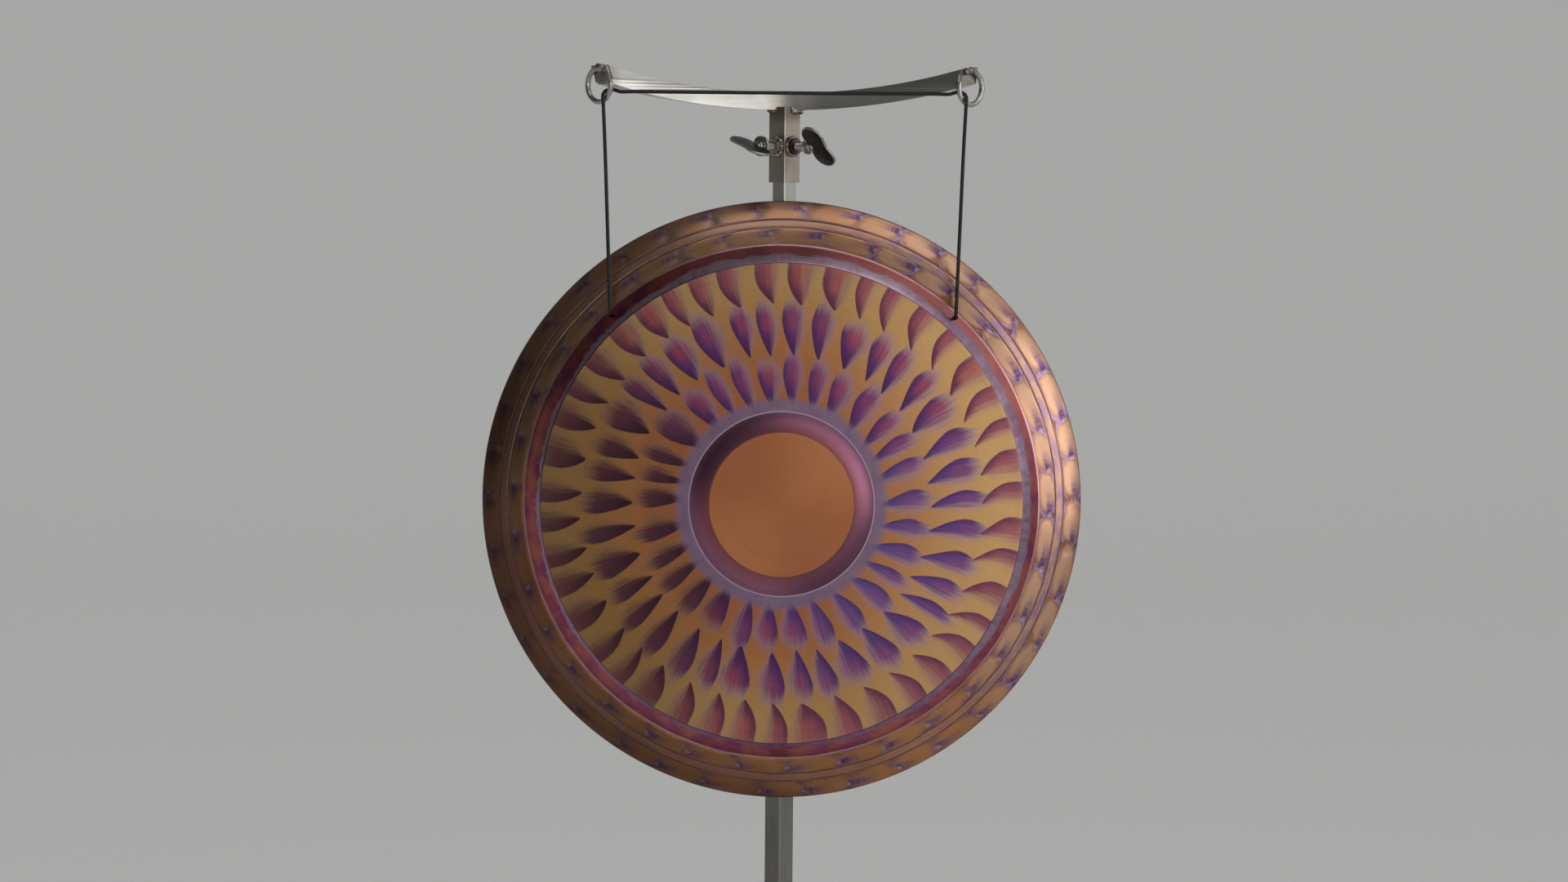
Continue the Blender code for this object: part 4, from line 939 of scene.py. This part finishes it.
def make_welds(material):
    """The beads under the crossbar, round the nuts, at the hooks and round the legs' inner ends."""
    bar = [(x, y, CROSSBAR_UNDERSIDE + x * x * 0.64 - 0.0010) for x, y, _ in turned_square(SLEEVE_SIDE + 0.0015, 0.0)]
    front = [point for point in bar if abs(point[1]) < CROSSBAR_SIDE / 2 + 0.0012]
    for label, side, size in (("left", -1, 0.0020), ("right", 1, 0.0036)):
        joint = sorted((p for p in front if p[0] * side > 0), key=lambda p: p[1])
        joint.insert(0, (side * 0.0078, -CROSSBAR_SIDE / 2 - 0.0008, CROSSBAR_UNDERSIDE + SLEEVE_RISE))
        make_weld("weld_bar_" + label, joint, size, False, "head", material, 1.0 + side)
    for label, direction, z, face, body in (
        ("left", (-DIAGONAL, -DIAGONAL, 0), HEAD_SCREW_Z, SLEEVE_SIDE / 2, "head"),
        ("right", (DIAGONAL, -DIAGONAL, 0), HEAD_SCREW_Z, SLEEVE_SIDE / 2, "head"),
        ("post", (DIAGONAL, DIAGONAL, 0), POST_SCREW_Z, OUTER_POST_SIDE / 2, "stand"),
    ):
        place = Matrix.Translation((0, 0, z)) @ basis(direction)
        path = ring_at(place, NUT_ACROSS_FLATS / 2 + 0.0016, face + 0.0012, 18)
        make_weld("weld_nut_" + label, path, 0.0021, True, body, material, 4.0)
    for label, side in SIDES:
        plate = Vector((side * CROSSBAR_HALF_LENGTH, 0, 0)) + Vector((side, -1, 0)) * DIAGONAL * HOOK_AWAY
        inward = Vector((-side * DIAGONAL, -DIAGONAL, 0))
        path = []
        for degrees in HOOK_WELD_DEGREES:
            angle = math.radians(degrees)
            around = inward * math.cos(angle) + Vector((0, 0, math.sin(angle)))
            path.append(plate + around * HOOK_RING_RADIUS + Vector((0, 0, HOOK_CENTRE_Z)))
        make_weld("weld_hook_" + label, path, 0.0044, False, "head", material, 3.0 + side)
    for number, label in enumerate(("front_left", "front_right", "back_left", "back_right")):
        across = Vector((-1 if "left" in label else 1, -1 if "front" in label else 1, 0)) * DIAGONAL
        level = Vector((0, 0, 1)).cross(across)
        half = LEG_SIDE / 2
        path = []
        for u, v in ((-1, -1), (1, -1), (1, 1), (-1, 1)):
            path.append(across * (SOCKET_SIDE / 2 + 0.0012) + level * half * u + Vector((0, 0, LEG_CENTRE_Z + half * v)))
        make_weld("weld_leg_" + label, path, 0.0015, True, "stand", material, 5.0 + number)


def paint_node(name, material):
    """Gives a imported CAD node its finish."""
    obj = NODES[name]
    obj.data.materials.clear()
    obj.data.materials.append(material)


def make_camera():
    camera = bpy.data.objects.new("camera", bpy.data.cameras.new("camera"))
    bpy.context.scene.collection.objects.link(camera)
    camera.data.sensor_width = SENSOR_WIDTH
    camera.data.lens = FOCAL_PIXELS / IMAGE_WIDTH * SENSOR_WIDTH
    yaw = Matrix.Rotation(math.radians(CAMERA_YAW), 4, "Z")
    pitch = Matrix.Rotation(math.radians(90 - CAMERA_DOWN), 4, "X")
    roll = Matrix.Rotation(math.radians(CAMERA_ROLL), 4, "Z")
    camera.matrix_world = Matrix.Translation(CAMERA_PLACE) @ yaw @ pitch @ roll
    bpy.context.scene.camera = camera


def make_lamp(name, place, aim, width, height, watts):
    data = bpy.data.lights.new(name, "AREA")
    data.shape = "RECTANGLE"
    data.size = width
    data.size_y = height
    data.energy = watts
    data.spread = math.radians(LAMP_SPREAD)
    lamp = bpy.data.objects.new(name, data)
    bpy.context.scene.collection.objects.link(lamp)
    lamp.location = place
    lamp.visible_camera = False
    lamp.rotation_euler = (Vector(aim) - Vector(place)).to_track_quat("-Z", "Y").to_euler()


def make_stage():
    """A pale floor that sweeps up into a backdrop, a grey world and three soft lamps."""
    profile = [(-FLOOR_REACH, 0.0), (SWEEP_START, 0.0)]
    for step in range(1, 13):
        angle = math.radians(90 * step / 12)
        profile.append((SWEEP_START + SWEEP * math.sin(angle), SWEEP - SWEEP * math.cos(angle)))
    profile.append((SWEEP_START + SWEEP, BACKDROP_TOP))
    verts = [(side * FLOOR_REACH, y, z) for y, z in profile for side in (-1, 1)]
    faces = [(2 * i, 2 * i + 1, 2 * i + 3, 2 * i + 2) for i in range(len(profile) - 1)]
    mesh = bpy.data.meshes.new("floor")
    mesh.from_pydata(verts, [], faces)
    mesh.shade_smooth()
    floor = bpy.data.objects.new("floor", mesh)
    bpy.context.scene.collection.objects.link(floor)
    paint = Paint("floor", Roughness=0.85)
    speck = paint.noise(paint.place(), 90.0, 2.0)
    mesh.materials.append(paint.set(Base_Color=paint.mix(speck, (0.70, 0.70, 0.69), (0.74, 0.74, 0.73))))
    path = paint.node("LightPath", {})
    seen = path.outputs["Is Camera Ray"]
    for kind in ("Is Glossy Ray", "Is Transmission Ray"):
        seen = paint.math("MAXIMUM", seen, path.outputs[kind])
    paint.set(Emission_Color=(1.0, 1.0, 0.99), Emission_Strength=paint.mul(seen, BACKDROP_GLOW))
    world = bpy.data.worlds.new("studio")
    bpy.context.scene.world = world
    world.use_nodes = True
    nodes = world.node_tree.nodes
    links = world.node_tree.links
    nodes["Background"].inputs["Color"].default_value = (1.0, 1.0, 1.0, 1.0)
    where = nodes.new("ShaderNodeTexCoord")
    split = nodes.new("ShaderNodeSeparateXYZ")
    links.new(where.outputs["Generated"], split.inputs[0])
    level = nodes.new("ShaderNodeFloatCurve")
    points = level.mapping.curves[0].points
    while len(points) < len(WORLD_LEVELS):
        points.new(0.5, 0.5)
    for point, (x, strength) in zip(points, WORLD_LEVELS):
        point.location = ((x + 1) / 2, strength)
    level.mapping.update()
    shift = nodes.new("ShaderNodeMapRange")
    shift.inputs["From Min"].default_value = -1.0
    links.new(split.outputs[0], shift.inputs[0])
    links.new(shift.outputs[0], level.inputs["Value"])
    links.new(level.outputs[0], nodes["Background"].inputs["Strength"])
    make_lamp("key", (3.3, -1.8, 1.75), (0, 0, 1.1), 2.6, 2.6, 18.3)
    make_lamp("front", (2.75, -7.0, 1.4), (0, 0, 1.1), 4.4, 2.0, 32)
    make_lamp("top", (0.40, -0.85, 2.86), (0.0, -0.1, 1.3), 2.2, 1.1, 3.5)


make_camera()
black_cord = plain("cord_black", (0.006, 0.006, 0.006), (0.018, 0.018, 0.019), 1500.0, 0.0, 0.70, 0.00005)
for label, side in SIDES:
    route = [(side * x, y, z) for x, y, z in DROP_ROUTE]
    drop, drop_length = make_cord("drop_cord_" + label, route, black_cord)
    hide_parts("cord_drop_" + label)
    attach(drop, "gong")
    knot = make_knot("stopper_knot_" + label, (side * KNOT_CENTRE[0], *KNOT_CENTRE[1:]), black_cord)
    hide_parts("cord_knot_" + label)
    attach(knot, "gong")
left_half = [(-x, y, z) for x, y, z in BRIDGE_ROUTE]
bridge_route = left_half + list(reversed(BRIDGE_ROUTE))[1:]
bridge, bridge_length = make_cord("bridge_cord", bridge_route, black_cord)
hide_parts("cord_bridge")
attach(bridge, "head")

gong_piece = make_gong(gong_front(), gong_back())
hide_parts("gong")
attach(gong_piece, "gong")

upright = steel("steel_upright", (900, 900, 14), light=(0.470, 0.458, 0.430), dark=(0.370, 0.360, 0.334))
bar_light, bar_dark = (0.560, 0.548, 0.510), (0.455, 0.442, 0.405)
across_bar = steel("steel_crossbar", (14, 900, 900), light=bar_light, dark=bar_dark, tinted=crossbar_shade_and_tint, bent=0.19)
sleeve_steel = steel("steel_sleeve", (900, 900, 14), light=(0.410, 0.372, 0.314), dark=(0.270, 0.240, 0.200), tinted=sleeve_tint)
lower_steel = steel("steel_lower", (900, 900, 14), light=(0.225, 0.220, 0.200), dark=(0.170, 0.166, 0.150))
legs_one_way = steel("steel_leg_a", (14, 900, 900), (0, 0, math.radians(45)))
legs_other_way = steel("steel_leg_b", (14, 900, 900), (0, 0, math.radians(-45)))
small = steel("steel_small", (300, 300, 300))
hook_steel = steel("steel_hook", (300, 300, 300), light=(0.460, 0.445, 0.420), dark=(0.270, 0.256, 0.236))
plate_steel = steel("steel_plate", (120, 120, 120), light=(0.420, 0.400, 0.370), dark=(0.200, 0.180, 0.160))
welded = steel("steel_welded", (90, 90, 90), light=(0.640, 0.520, 0.420), dark=(0.340, 0.250, 0.190))
burnt = steel("steel_burnt", (90, 90, 90), light=(0.190, 0.130, 0.100), dark=(0.080, 0.052, 0.058))
bead = plain("weld_bead", (0.085, 0.072, 0.070), (0.520, 0.470, 0.430), 420.0, 1.0, 0.34, 0.0003)
wing_face = plain("wing_face", (0.034, 0.031, 0.029), (0.080, 0.074, 0.068), 300.0, 1.0, 0.42, 0.00008)
wing_edge = plain("wing_edge", (0.260, 0.250, 0.235), (0.460, 0.445, 0.420), 300.0, 1.0, 0.32, 0.00005)
rubber = plain("rubber_black", (0.012, 0.012, 0.012), (0.028, 0.028, 0.027), 400.0, 0.0, 0.78, 0.00012)
plastic = plain("plastic_black", (0.014, 0.014, 0.015), (0.030, 0.030, 0.032), 500.0, 0.0, 0.5, 0.00004)
for label, direction, z, turn, tip in (
    ("left", (-DIAGONAL, -DIAGONAL, 0), HEAD_SCREW_Z, -21.0, 0.0103),
    ("right", (DIAGONAL, -DIAGONAL, 0), HEAD_SCREW_Z, -48.0, 0.0103),
    ("post", (DIAGONAL, DIAGONAL, 0), POST_SCREW_Z, 20.0, 0.0103),
):
    make_wing_screw(label, direction, z, turn, tip, "wing_" + label, [wing_face, wing_edge])
make_welds(bead)
for name in NODES:
    if name.startswith("foot_screw") or name.startswith("socket_"):
        paint_node(name, small)
    elif name.startswith("foot_"):
        paint_node(name, rubber)
    elif name.startswith("leg_plug"):
        paint_node(name, plastic)
    elif name in ("leg_front_right", "leg_back_left"):
        paint_node(name, legs_other_way)
    elif name.startswith("leg_"):
        paint_node(name, legs_one_way)
    elif name == "crossbar":
        paint_node(name, across_bar)
    elif name == "head_sleeve":
        paint_node(name, sleeve_steel)
    elif name == "outer_post":
        paint_node(name, lower_steel)
    elif name == "nut_right":
        paint_node(name, burnt)
    elif name.startswith("nut_"):
        paint_node(name, welded)
    elif name.startswith("end_plate"):
        paint_node(name, plate_steel)
    elif name.startswith("hook"):
        paint_node(name, hook_steel)
    elif name.startswith("washer"):
        paint_node(name, small)
    else:
        paint_node(name, upright)

make_stage()
bpy.context.scene.view_settings.view_transform = "Standard"
